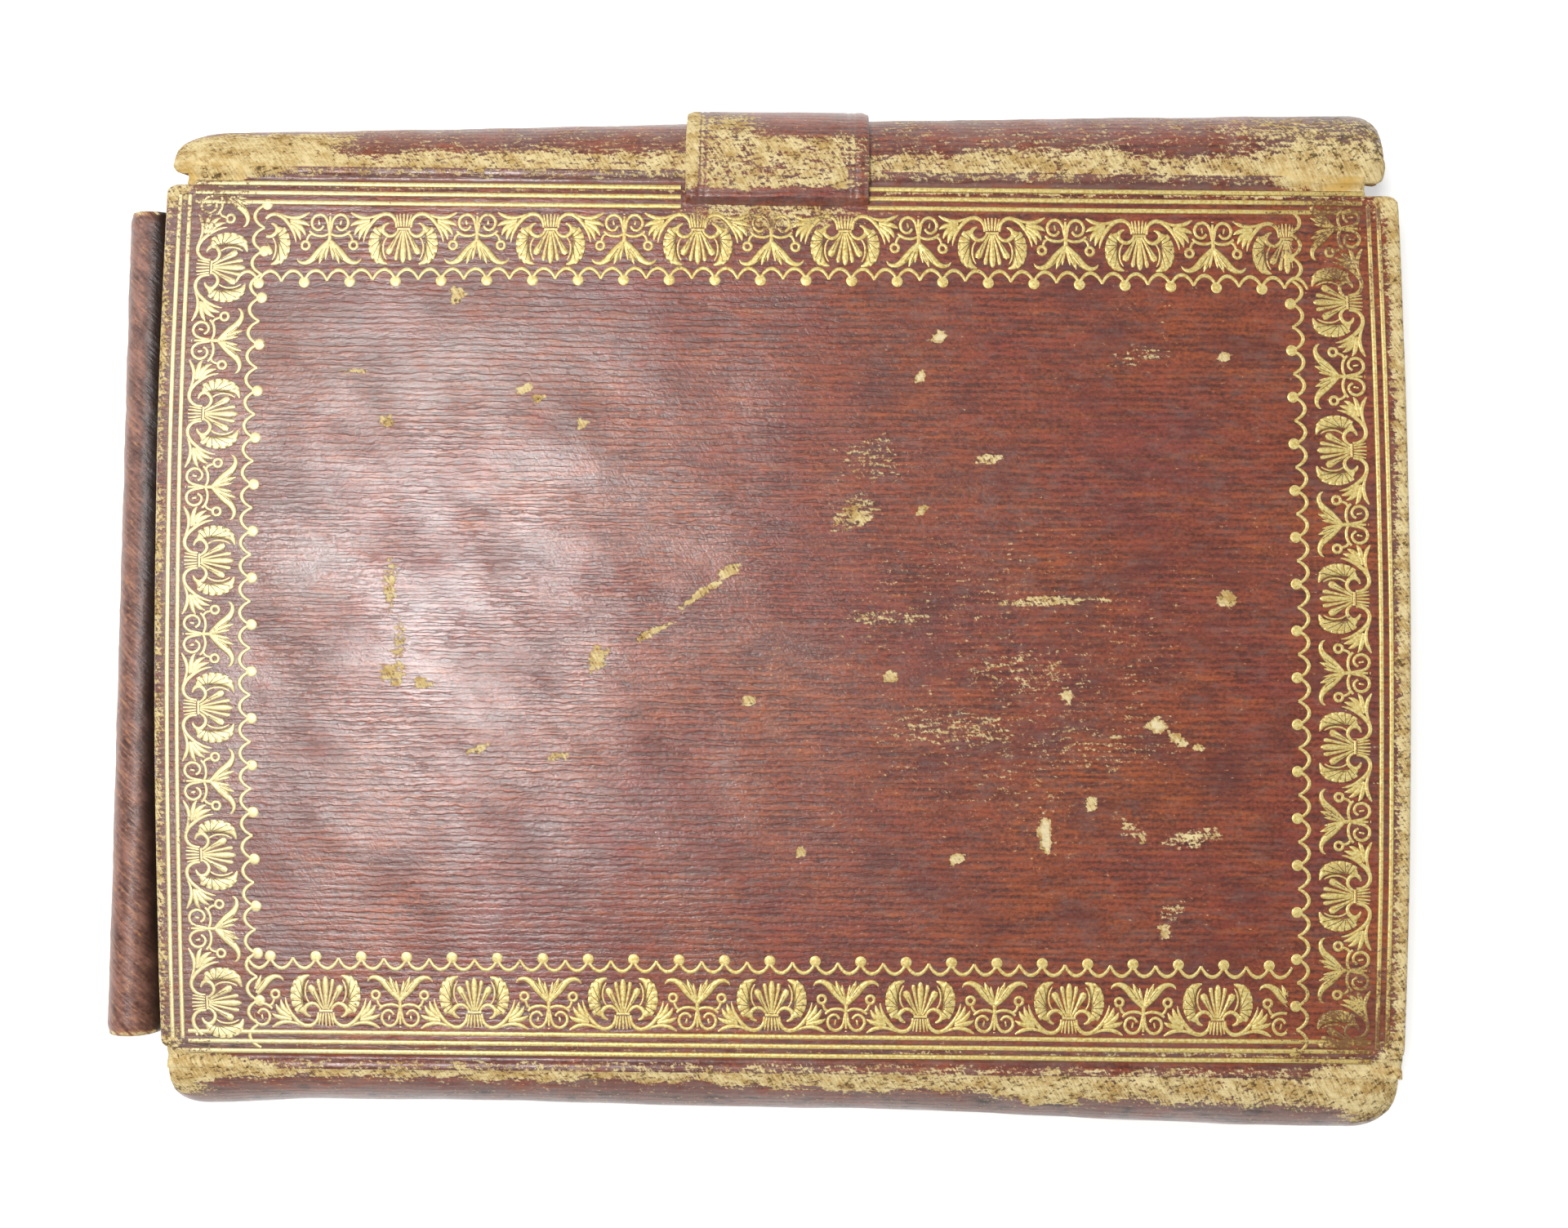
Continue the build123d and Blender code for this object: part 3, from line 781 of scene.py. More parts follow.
def stamp(bm, mesh, to_cover, cut=False):
    """Presses a copy of a tool's mesh on the cover; to_cover maps tool places to the cover."""
    before = len(bm.verts)
    bm.from_mesh(mesh)
    bm.verts.ensure_lookup_table()
    rim = bm.verts.layers.float["rim"]
    wear = bm.verts.layers.float["wear"]
    fresh = bm.verts[before:]
    for vert in fresh:
        x, y = tooled(*to_cover(vert.co.x, vert.co.y))
        z = vert.co.z
        lift = GILT_MOST - RIM_HEIGHT if cut else 0.0
        vert.co = Vector((x, y, TOP + panel_height(x, y) + z + lift - GILT_SINK))
        # Rim marks the stroke sides, which take painted shade in the gold, and the tool's cut lines, which
        # show dark leather
        vert[rim] = 1.0 if cut or z < RIM_HEIGHT else 0.0
        vert[wear] = gilt_loss(x, y)
    return fresh


def new_gilt():
    """An empty bmesh that holds the rim and wear of gold leaf."""
    bm = bmesh.new()
    bm.verts.layers.float.new("rim")
    bm.verts.layers.float.new("wear")
    return bm


def under_strap(spot):
    """Whether the strap hides a place on the cover."""
    return abs(spot.x - STRAP_X) < STRAP_HALF + 0.3 and spot.y > SLIT_Y - 0.3


# Each side's run: where it starts and ends, its first palmette, its pitch, and a tool's place on it
Run = namedtuple("Run", "low high first pitch place")
ROLL_RUNS = (
    Run(SCALLOP_LEFT + ROLL_GAP, SCALLOP_RIGHT - ROLL_GAP, 7.9, 18.3,
        lambda at, x, y: (at + x, ROLL_TOP + sprung(at + x) - y)),
    Run(SCALLOP_LEFT + ROLL_GAP, SCALLOP_RIGHT - ROLL_GAP, -1.3, 18.25,
        lambda at, x, y: (at - x, y - ROLL_BOTTOM)),
    Run(-SIDE_RUN, SIDE_RUN, 6.7, 18.0, lambda at, x, y: (ROLL_LEFT + drawn_in(at + x) + y, at + x)),
    Run(-SIDE_RUN, SIDE_RUN, 3.4, 18.18, lambda at, x, y: (ROLL_RIGHT - y, at - x)),
)


def gilt_roll(material):
    """The palmette roll, run once along each side of the cover."""
    palmette = stroke_mesh("palmette_tool", both_halves(PALMETTE_MIDDLE, PALMETTE_HALF))
    palmette_cuts = stroke_mesh("palmette_cuts", cut_strokes(PALMETTE_CUTS), steps=1)
    link = stroke_mesh("link_tool", both_halves(LINK_MIDDLE, list(LINK_HALF) + [ring_stroke()]))
    link_cuts = stroke_mesh("link_cuts", cut_strokes(LINK_CUTS), steps=1)
    bm = new_gilt()
    beyond = []
    for number, run in enumerate(ROLL_RUNS):
        along = 0 if number < 2 else 1
        count = int(2 * (run.high - run.low) / run.pitch)
        for n in range(-count, count + 1):
            at = run.first + n * run.pitch / 2
            if not run.low - 5.0 < at < run.high + 5.0:
                continue
            for mesh in (link, link_cuts) if n % 2 else (palmette, palmette_cuts):
                fresh = stamp(bm, mesh, lambda x, y: run.place(at, x, y),
                              mesh in (palmette_cuts, link_cuts))
                beyond += [v for v in fresh if not run.low < v.co[along] < run.high or under_strap(v.co)]
    bmesh.ops.delete(bm, geom=beyond, context="VERTS")
    for mesh in (palmette, palmette_cuts, link, link_cuts):
        bpy.data.meshes.remove(mesh)
    return finish_piece("gilt_roll", bm, material)


def line_stroke(place, low, high, piece=4.0):
    """A gilt line through place(t) for t from low to high, in short pieces that follow the leather."""
    count = max(int((high - low) / piece), 2)
    return [place(low + (high - low) * n / count) + (FILLET_HALF,) for n in range(count + 1)]


def fillet_strokes():
    """Three lines along each long side, broken by the strap, and two bowed ones along each short side."""
    strokes = []
    left, right = FILLET_LONG_ENDS
    for n in range(3):
        y = FILLET_LONG - n * FILLET_LONG_PITCH
        strokes.append(line_stroke(lambda t: (t, -y), left, right))
        strokes.append(line_stroke(lambda t: (t, y), left, STRAP_X - STRAP_HALF - 0.2))
        strokes.append(line_stroke(lambda t: (t, y), STRAP_X + STRAP_HALF + 0.6, right))
    for n in range(2):
        in_by = n * FILLET_SIDE_PITCH

        def on_left(t):
            return FILLET_LEFT + in_by - FILLET_LEFT_BOW * (1 - (t / SIDE_RUN) ** 2), t

        def on_right(t):
            return FILLET_RIGHT - in_by + FILLET_RIGHT_BOW * (1 - (t / SIDE_RUN) ** 2), t

        strokes.append(line_stroke(on_left, -SIDE_RUN, SIDE_RUN))
        strokes.append(line_stroke(on_right, -SIDE_RUN, SIDE_RUN))
    return strokes


def bow_stroke(step):
    """One bow of the scalloped line, from cusp to cusp, bulging to negative y."""
    shares = (0.0, 0.12, 0.3, 0.5, 0.7, 0.88, 1.0)
    return [(t * step, -SCALLOP_RISE * sin(pi * t) ** 0.75, 0.19 + 0.11 * sin(pi * t)) for t in shares]


# Each side of the scalloped frame: its start, its way along and into the field, its length,
# the number of its first bow, and whether odd or even bows begin with a ball
Scallop = namedtuple("Scallop", "start along inward length first ball")
SCALLOP_WIDE = SCALLOP_RIGHT - SCALLOP_LEFT
SCALLOP_RUNS = (
    Scallop((SCALLOP_LEFT - 0.7, -SCALLOP_LONG), (1, 0), (0, 1), SCALLOP_WIDE, 0, 1),
    Scallop((SCALLOP_RIGHT - 0.8, SCALLOP_LONG - 0.55), (-1, 0), (0, -1), SCALLOP_WIDE + 2.0, -1, 1),
    Scallop((SCALLOP_RIGHT, -SIDE_RUN - 0.6), (0, 1), (-1, 0), 2 * SIDE_RUN, 0, 0),
    Scallop((SCALLOP_LEFT, SIDE_RUN - 1.1), (0, -1), (1, 0), 2 * SIDE_RUN, 0, 0),
)


def gilt_lines(material):
    """The fillets, the scalloped inner frame and its balls."""
    bm = new_gilt()
    lines = stroke_mesh("fillet_tool", fillet_strokes(), steps=1)
    stamp(bm, lines, lambda x, y: (x, y))
    bpy.data.meshes.remove(lines)
    ball = ball_mesh()
    for run in SCALLOP_RUNS:
        count = 2 * round(run.length / SCALLOP_PITCH / 2)
        step = run.length / count

        def to_cover(x, y):
            at = run.start[0] + run.along[0] * x + run.inward[0] * y
            up = run.start[1] + run.along[1] * x + run.inward[1] * y
            if run.along[0] < 0:
                up += 1.6 * sprung(at - 8.0)
            if run.along[1] < 0:
                at += drawn_in(up)
            return at, up

        bow = stroke_mesh("scallop_tool", [bow_stroke(step)])
        for n in range(run.first, count):
            stamp(bm, bow, lambda x, y: to_cover(n * step + x, y))
            if n >= 0 and n % 2 == run.ball:
                stamp(bm, ball, lambda x, y: to_cover(n * step + x, y + 0.15))
        bpy.data.meshes.remove(bow)
    bpy.data.meshes.remove(ball)
    return finish_piece("gilt_lines", bm, material)


# Materials: a wave texture of scale 1 repeats each WAVE_REPEAT of its units
WAVE_REPEAT = 0.314


def grains(tree, place, size, turn=0.0, detail=3.0, roughness=0.6):
    """Noise about zero with grains of the size given, in millimetres, turned in degrees."""
    spot = add(tree, "Mapping", {"Vector": place, "Rotation": (0, 0, radians(turn))}).outputs[0]
    finer = (1 / size[0], 1 / size[1], 1)
    spot = add(tree, "VectorMath", {0: spot, 1: finer}, operation="MULTIPLY").outputs[0]
    field = add(tree, "TexNoise", {"Vector": spot, "Scale": 1.0, "Detail": detail, "Roughness": roughness})
    return add(tree, "Math", {0: field.outputs[0], 1: 0.5}, operation="SUBTRACT").outputs[0]


def layered(tree, start, parts):
    """A start value with patterns laid over it, each with its weight."""
    total = start
    for pattern, weight in parts:
        total = add(tree, "Math", {0: pattern, 1: weight, 2: total}, operation="MULTIPLY_ADD").outputs[0]
    return total


def skin_sockets(tree):
    """Place on the skin in millimetres, the wear set on it, and its soil, which on some pieces also carries
    painted sheen, reflection or shade.
    """
    skin = add(tree, "Attribute", attribute_name="skin").outputs["Vector"]
    place = add(tree, "VectorMath", {0: skin, 1: (1 / MM, 1 / MM, 1 / MM)}, operation="MULTIPLY").outputs[0]
    wear = add(tree, "Attribute", attribute_name="wear").outputs["Fac"]
    soil_and_painted_light = add(tree, "Attribute", attribute_name="soil_and_painted_light").outputs["Fac"]
    return place, wear, soil_and_painted_light


def goatskin():
    """Straight-grain goatskin, dyed oxblood and glazed: fine ridges, patchy gloss, tan where rubbed."""
    material, tree, shader = new_material("red_straight_grain_goatskin")
    place, wear, soil_and_painted_light = skin_sockets(tree)
    ridge = straight_grain(tree, place)
    streak = grains(tree, place, (1.9, 0.5), 0.0, 3.0)
    fleck = grains(tree, place, (0.5, 0.4), 0.0, 3.0, 0.65)
    fibre = grains(tree, place, (1.6, 0.22), 58.0)
    worn = layered(tree, wear, ((streak, 1.7), (fleck, 1.5), (fibre, 0.7)))
    rubbed = add(tree, "MapRange", {0: worn, 1: 0.42, 2: 0.66}, interpolation_type="SMOOTHSTEP").outputs[0]
    depth = add(tree, "MapRange", {0: wear, 1: 0.0, 2: 0.6, 3: 0.55, 4: 1.0}).outputs[0]
    rubbed = add(tree, "Math", {0: rubbed, 1: depth}, operation="MULTIPLY").outputs[0]
    red = red_dye(tree, place, ridge, layered(tree, 0.0, ((streak, 0.3), (fleck, 1.6))), soil_and_painted_light)
    hide = bare_hide(tree, place, fleck, fibre, soil_and_painted_light)
    chip = add(tree, "MapRange", {0: wear, 1: 1.1, 2: 1.5, 4: 0.7}).outputs[0]
    hide = add(tree, "Mix", {0: chip, 6: hide, 7: "#EFE0B8"}, data_type="RGBA").outputs[2]
    patch = grains(tree, place, (14.0, 9.0), 30.0)
    glaze = add(tree, "MapRange", {0: patch, 1: -0.14, 2: 0.14, 3: 0.35, 4: 1.0}).outputs[0]
    height = layered(tree, 0.0, ((ridge, 0.7), (fleck, 0.6), (streak, 0.5), (rubbed, -0.5), (fibre, 0.3)))
    bump = add(tree, "Bump", {"Height": height, "Strength": 1.0, "Distance": 0.08 * MM}).outputs[0]
    glint = add(tree, "Bump", {"Height": height, "Strength": 1.0, "Distance": 0.04 * MM}).outputs[0]
    feed(tree, shader, {
        "Base Color": add(tree, "Mix", {0: rubbed, 6: red, 7: hide}, data_type="RGBA").outputs[2],
        "Roughness": add(tree, "MapRange", {0: rubbed, 3: 0.42, 4: 0.85}).outputs[0],
        "Specular IOR Level": add(tree, "MapRange", {0: rubbed, 3: 0.5, 4: 0.25}).outputs[0],
        "Coat Weight": add(tree, "Mix", {0: rubbed, 2: glaze, 3: 0.0}).outputs[0],
        "Coat Roughness": 0.22,
        "Normal": bump,
        "Coat Normal": glint,
    })
    return material


GRAIN_PITCH = 0.86


def straight_grain(tree, place):
    """Ridge height, 0 in a crease to 1 on a ridge: ridges 0.86 mm apart that wander, swell and break."""
    along = add(tree, "VectorMath", {0: place, 1: (0.16, 1, 1)}, operation="MULTIPLY").outputs[0]
    bands = add(tree, "TexWave", {
        "Vector": along, "Scale": WAVE_REPEAT / GRAIN_PITCH, "Distortion": 6.0,
        "Detail": 4.0, "Detail Scale": 1.1, "Detail Roughness": 0.7,
    }, wave_type="BANDS", bands_direction="Y").outputs["Fac"]
    broken = layered(tree, bands, ((grains(tree, place, (1.5, 0.45), 0.0, 4.0), 3.0),))
    ridge = add(tree, "MapRange", {0: broken, 1: -0.1, 2: 0.85}, interpolation_type="SMOOTHSTEP").outputs[0]
    crushed = grains(tree, place, (12.0, 7.0), 15.0)
    crushed = add(tree, "MapRange", {0: crushed, 1: -0.1, 2: 0.16, 4: 0.8}).outputs[0]
    return add(tree, "Mix", {0: crushed, 2: ridge, 3: 0.6}).outputs[0]


def red_dye(tree, place, ridge, speck, soil_and_painted_light):
    """Oxblood dye: orange flares and plum patches, brown in the creases, greyed by dust and by painted sheen
    and reflection, black in grime.
    """
    drift = grains(tree, place, (30.0, 22.0), 20.0)
    drift = add(tree, "MapRange", {0: drift, 1: -0.16, 2: 0.16}).outputs[0]
    crest = add(tree, "Mix", {0: drift, 6: "#944234", 7: "#AA5426"}, data_type="RGBA").outputs[2]
    flare = grains(tree, place, (9.0, 1.2), 2.0, 4.0)
    flare = add(tree, "MapRange", {0: flare, 1: 0.03, 2: 0.2, 4: 0.8}).outputs[0]
    crest = add(tree, "Mix", {0: flare, 6: crest, 7: "#B8622C"}, data_type="RGBA").outputs[2]
    patch = grains(tree, place, (6.0, 2.0), 4.0, 4.0)
    tone = layered(tree, speck, ((ridge, 0.40), (patch, 1.1)))
    tone = add(tree, "MapRange", {0: tone, 1: -0.3, 2: 0.76}, interpolation_type="SMOOTHSTEP").outputs[0]
    red = add(tree, "Mix", {0: tone, 6: "#522419", 7: crest}, data_type="RGBA").outputs[2]
    plum = grains(tree, place, (13.0, 8.0), -12.0, 4.0)
    plum = add(tree, "MapRange", {0: plum, 1: 0.0, 2: 0.2, 4: 0.7}).outputs[0]
    red = add(tree, "Mix", {0: plum, 6: red, 7: "#5C2A26"}, data_type="RGBA").outputs[2]
    # The soil value greys the dye with real dust, and with painted sheen and reflection on the front's left
    # end and the spine's lower side
    dust_or_sheen = layered(tree, soil_and_painted_light, ((grains(tree, place, (2.6, 1.2), 0.0, 4.0, 0.7), 1.8),))
    grey = add(tree, "MapRange", {0: dust_or_sheen, 1: 0.1, 2: 0.7, 4: 0.65}).outputs[0]
    red = add(tree, "Mix", {0: grey, 6: red, 7: "#80665E"}, data_type="RGBA").outputs[2]
    grime = add(tree, "MapRange", {0: dust_or_sheen, 1: 0.75, 2: 1.15, 4: 0.9}).outputs[0]
    return add(tree, "Mix", {0: grime, 6: red, 7: "#31241F"}, data_type="RGBA").outputs[2]


def bare_hide(tree, place, fleck, fibre, soil_and_painted_light):
    """Hide under the dye: fibrous cream and tan, golden where freshly torn, with dark pits where soiled."""
    tone = grains(tree, place, (3.5, 2.0), 10.0, 4.0, 0.65)
    tone = layered(tree, 0.0, ((tone, 1.3), (fibre, 1.0), (fleck, 0.6)))
    share = add(tree, "MapRange", {0: tone, 1: -0.28, 2: 0.28}, interpolation_type="SMOOTHSTEP").outputs[0]
    hide = add(tree, "Mix", {0: share, 6: "#BC9858", 7: "#ECD8A2"}, data_type="RGBA").outputs[2]
    torn = add(tree, "MapRange", {0: soil_and_painted_light, 1: 0.0, 2: -0.7, 4: 0.75}).outputs[0]
    hide = add(tree, "Mix", {0: torn, 6: hide, 7: "#D9AE58"}, data_type="RGBA").outputs[2]
    pits = grains(tree, place, (0.9, 0.5), -20.0, 3.0, 0.7)
    pits = layered(tree, pits, ((tone, 0.25), (soil_and_painted_light, -0.16)))
    pits = add(tree, "MapRange", {0: pits, 1: -0.1, 2: -0.22, 4: 0.85},
               interpolation_type="SMOOTHSTEP").outputs[0]
    return add(tree, "Mix", {0: pits, 6: hide, 7: "#4E3822"}, data_type="RGBA").outputs[2]


def sleeve_goatskin():
    """Rubbed goatskin: brown with slanting orange fibres, paled on its outer side by a painted highlight and
    darkened beside the cover by painted shade.
    """
    material, tree, shader = new_material("sleeve_rubbed_goatskin")
    place, wear, soil_and_painted_light = skin_sockets(tree)
    strand = grains(tree, place, (2.6, 0.4), 40.0)
    fleck = grains(tree, place, (0.6, 0.5), 0.0, 3.0, 0.65)
    pucker = grains(tree, place, (4.0, 2.0), 60.0)
    crease = layered(tree, 0.0, ((strand, 0.8), (fleck, 0.5), (pucker, 0.9)))
    share = add(tree, "MapRange", {0: crease, 1: -0.34, 2: 0.3}, interpolation_type="SMOOTHSTEP").outputs[0]
    body = add(tree, "Mix", {0: share, 6: "#4C2C25", 7: "#A87868"}, data_type="RGBA").outputs[2]
    # Painted shade: near black where the soil value carries the shade beside the cover
    dark = add(tree, "MapRange", {0: soil_and_painted_light, 1: 0.3, 2: 0.9}).outputs[0]
    # Painted highlight: a pale veil where the soil value drops on the tube's outer, lit side
    dust_or_sheen = add(tree, "MapRange", {0: soil_and_painted_light, 1: 0.15, 2: -0.3, 4: 0.6}).outputs[0]
    body = add(tree, "Mix", {0: dust_or_sheen, 6: body, 7: "#B49A92"}, data_type="RGBA").outputs[2]
    worn = layered(tree, wear, ((strand, 3.0), (fleck, 1.2)))
    fibre = add(tree, "MapRange", {0: worn, 1: 0.15, 2: 0.55, 4: 0.8}).outputs[0]
    body = add(tree, "Mix", {0: fibre, 6: body, 7: "#BE8659"}, data_type="RGBA").outputs[2]
    body = add(tree, "Mix", {0: dark, 6: body, 7: "#2A1813"}, data_type="RGBA").outputs[2]
    rubbed = add(tree, "MapRange", {0: worn, 1: 0.70, 2: 1.0}, interpolation_type="SMOOTHSTEP").outputs[0]
    hide = bare_hide(tree, place, fleck, strand, 0.2)
    feed(tree, shader, {
        "Base Color": add(tree, "Mix", {0: rubbed, 6: body, 7: hide}, data_type="RGBA").outputs[2],
        "Roughness": 0.38,
        "Normal": add(tree, "Bump", {"Height": crease, "Strength": 1.0, "Distance": 0.10 * MM}).outputs[0],
    })
    return material


def gold_leaf():
    """Gold leaf pressed in hot: yellow metal, paled at the left by a painted sheen, darkened in its rim by
    painted shade, broken where rubbed.
    """
    material, tree, shader = new_material("worn_gold_leaf")
    spot = add(tree, "TexCoord").outputs["Object"]
    place = add(tree, "VectorMath", {0: spot, 1: (1 / MM, 1 / MM, 1 / MM)}, operation="MULTIPLY").outputs[0]
    rim = add(tree, "Attribute", attribute_name="rim").outputs["Fac"]
    wear = add(tree, "Attribute", attribute_name="wear").outputs["Fac"]
    fine = grains(tree, place, (0.4, 0.35), 0.0, 4.0, 0.7)
    broad = grains(tree, place, (5.0, 4.0), 0.0, 2.0)
    lost = layered(tree, wear, ((fine, 1.5), (broad, 0.8)))
    lost = add(tree, "MapRange", {0: lost, 1: 0.30, 2: 0.52}, interpolation_type="SMOOTHSTEP").outputs[0]
    share = add(tree, "MapRange", {0: fine, 1: -0.2, 2: 0.2}, interpolation_type="SMOOTHSTEP").outputs[0]
    gold = add(tree, "Mix", {0: share, 6: "#CCA448", 7: "#FAEEA4"}, data_type="RGBA").outputs[2]
    # Painted sheen: the gold pales towards the left end, where the lamp's gloss falls
    across = add(tree, "SeparateXYZ", {0: place}).outputs["X"]
    painted_sheen = add(tree, "MapRange", {0: across, 1: -20.0, 2: -75.0, 4: 0.45}).outputs[0]
    gold = add(tree, "Mix", {0: painted_sheen, 6: gold, 7: "#FBF4CE"}, data_type="RGBA").outputs[2]
    gold = add(tree, "Mix", {0: lost, 6: gold, 7: "#7E5630"}, data_type="RGBA").outputs[2]
    # Painted shade: each stroke's rim darkens to ochre, then to dark brown, as the shadow of its sunk edge;
    # the cut lines take the same dark brown
    shade = add(tree, "MapRange", {0: rim, 2: 0.8, 4: 0.5}, interpolation_type="SMOOTHSTEP").outputs[0]
    gold = add(tree, "Mix", {0: shade, 6: gold, 7: "#A8803C"}, data_type="RGBA").outputs[2]
    pressed_or_rim_shade = add(tree, "MapRange", {0: rim, 1: 0.6, 4: 0.85}, interpolation_type="SMOOTHSTEP").outputs[0]
    feed(tree, shader, {
        "Base Color": add(tree, "Mix", {0: pressed_or_rim_shade, 6: gold, 7: "#5A3420"}, data_type="RGBA").outputs[2],
        "Metallic": add(tree, "MapRange", {0: lost, 3: 0.35, 4: 0.0}).outputs[0],
        "Roughness": 0.45,
        "Coat Weight": 0.5,
        "Coat Roughness": 0.32,
        "Normal": add(tree, "Bump", {"Height": fine, "Strength": 0.6, "Distance": 0.06 * MM}).outputs[0],
    })
    return material


def page_edges():
    """Rag paper leaves seen edge on: fine cream and tan lines along the block, with patches of foxing."""
    material, tree, shader = new_material("rag_paper_leaves")
    spot = add(tree, "TexCoord").outputs["Object"]
    # Lines 50 mm long, nine leaves to a millimetre, and foxing in patches of about 17 mm
    place = add(tree, "VectorMath", {0: spot, 1: (20.0, 20.0, 9000.0)}, operation="MULTIPLY").outputs[0]
    leaf = add(tree, "TexNoise", {"Vector": place, "Scale": 1.0, "Detail": 2.0, "Roughness": 0.6}).outputs[0]
    tone = add(tree, "TexNoise", {"Vector": spot, "Scale": 60.0, "Detail": 4.0, "Roughness": 0.6}).outputs[0]
    paper = add(tree, "Mix", {0: leaf, 6: "#A98B5C", 7: "#EADFC0"}, data_type="RGBA").outputs[2]
    foxed = add(tree, "MapRange", {0: tone, 1: 0.6, 2: 0.75, 4: 0.45}).outputs[0]
    feed(tree, shader, {
        "Base Color": add(tree, "Mix", {0: foxed, 6: paper, 7: "#9A7444"}, data_type="RGBA").outputs[2],
        "Roughness": 0.85,
        "Normal": add(tree, "Bump", {"Height": leaf, "Strength": 0.7, "Distance": 0.1 * MM}).outputs[0],
    })
    return material


def plain_paper(name, pale, dark, spot_size):
    """Toned laid paper: soft fibre mottling, a little foxing, no gloss."""
    material, tree, shader = new_material(name)
    spot = add(tree, "TexCoord").outputs["Object"]
    across = 1 / (spot_size * MM)
    tone = add(tree, "TexNoise", {"Vector": spot, "Scale": across, "Detail": 5.0, "Roughness": 0.65})
    fibre = add(tree, "TexNoise", {"Vector": spot, "Scale": 1 / (0.5 * MM), "Detail": 3.0}).outputs[0]
    share = add(tree, "MapRange", {0: tone.outputs[0], 1: 0.4, 2: 0.72}).outputs[0]
    feed(tree, shader, {
        "Base Color": add(tree, "Mix", {0: share, 6: pale, 7: dark}, data_type="RGBA").outputs[2],
        "Roughness": 0.88,
        "Normal": add(tree, "Bump", {"Height": fibre, "Strength": 0.4, "Distance": 0.05 * MM}).outputs[0],
    })
    return material


def plain_lining():
    """Undyed sheepskin lining: soft tan suede with darker handling."""
    return plain_paper("sheepskin_lining", "#B98A5A", "#7A5434", 6.0)


SILK_PITCH = 1.1


def endband_silk():
    """Silk sewn over a cord in two colours: narrow stripes round the cord."""
    material, tree, shader = new_material("sewn_silk_endband")
    spot = add(tree, "TexCoord").outputs["Object"]
    bands = add(tree, "TexWave", {
        "Vector": spot, "Scale": WAVE_REPEAT / (SILK_PITCH * MM), "Distortion": 0.6,
    }, wave_type="BANDS", bands_direction="Z").outputs["Fac"]
    share = add(tree, "MapRange", {0: bands, 1: 0.45, 2: 0.55}).outputs[0]
    feed(tree, shader, {
        "Base Color": add(tree, "Mix", {0: share, 6: "#C9B27C", 7: "#6E2A24"}, data_type="RGBA").outputs[2],
        "Roughness": 0.55,
        "Normal": add(tree, "Bump", {"Height": bands, "Strength": 0.6, "Distance": 0.1 * MM}).outputs[0],
    })
    return material


# Building the pieces
def build_front(leather, gold):
    """The front cover's leather with its gilt roll, fillets and scalloped frame."""
    bm = cover_sheet(300, 210, front_wear, front_grime_and_sheen, panel_height, LEAN)
    skin = finish_piece("front_skin", bm, leather)
    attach(skin, "front_cover")
    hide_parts("front_leather")
    roll = gilt_roll(gold)
    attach(roll, "front_cover")
    lines = gilt_lines(gold)
    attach(lines, "front_cover")
    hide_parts("gilt_tooling")


def back_wear(x, y):
    """The back cover is rubbed along its sides only."""
    near = min(HALF_LENGTH - abs(x), HALF_WIDTH - abs(y))
    rub = 1 - smooth(0.4, 2.6 + mottle(x, y, 6.0, 62.0), near)
    return -0.15 + 0.75 * rub + 0.12 * mottle(x, y, 12.0, 61.0)


def back_soil(x, y):
    """Light, even grime."""
    return 0.3 + 0.2 * mottle(x, y, 14.0, 63.0)


def build_back(leather):
    """The back cover's leather: a plain sheet, turned over."""
    bm = cover_sheet(150, 104, back_wear, back_soil, lambda x, y: 0.0, 0.0)
    bmesh.ops.scale(bm, vec=(1, 1, -1), verts=bm.verts)
    bmesh.ops.translate(bm, vec=(0, 0, TOP), verts=bm.verts)
    bmesh.ops.reverse_faces(bm, faces=bm.faces)
    skin = finish_piece("back_skin", bm, leather)
    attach(skin, "back_cover")
    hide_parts("back_leather")


def build_half_rounds(leather, lining, board):
    """Spine and flap, each with the lining that stiffens it."""
    bm = roll_sheet(SPINE, 304, 60, LEATHER, 0.0, spine_wear, spine_grime_and_shade)
    spine = finish_piece("spine_skin", bm, leather)
    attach(spine, "pages")
    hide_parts("spine_leather")
    under = SPINE._replace(low=LINING_LOW[0], high=LINING_HIGH[0], left_end=NO_END, right_end=NO_END)
    bm = roll_sheet(under, 120, 24, LINING, LEATHER, lining_wear, spine_grime_and_shade)
    lined = finish_piece("spine_inside", bm, board)
    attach(lined, "pages")
    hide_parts("spine_lining")
    bm = roll_sheet(FLAP, 304, 56, LEATHER, 0.0, flap_wear, flap_soil)
    flap = finish_piece("flap_skin", bm, leather)
    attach(flap, "flap")
    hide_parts("flap_leather")
    bm = roll_sheet(FLAP, 120, 24, LINING, LEATHER, lining_wear, flap_soil)
    inside = finish_piece("flap_inside", bm, lining)
    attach(inside, "flap")
    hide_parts("flap_lining")


def build_joints(leather):
    """The three hinges of leather, which bend between their two bodies."""
    for joint in JOINTS:
        strip = finish_piece(joint.node + "_skin", joint_sheet(joint), leather)
        half = JOINT_WIDTH / 2
        start = Vector((0, joint.y - half, joint.z)) * MM
        end = Vector((0, joint.y + half, joint.z)) * MM
        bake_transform(strip, joint.fixed, joint.moving, start, end)
        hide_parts(joint.node)


def build_strap(leather):
    """The closing strap, which bends where the flap is hinged."""
    strap = finish_piece("closing_strap", strap_sheet(), leather)
    half = JOINT_WIDTH / 2 * MM
    start = Vector((0, HINGE_Y * MM - half, TOP * MM))
    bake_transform(strap, "front_cover", "flap", start, Vector((0, HINGE_Y * MM + half, TOP * MM)))
    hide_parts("strap")


def build_sleeve(leather):
    """The pencil sleeve, pasted to the back cover."""
    sleeve = finish_piece("rolled_sleeve", sleeve_sheet(), leather)
    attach(sleeve, "back_cover")
    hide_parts("pencil_sleeve")


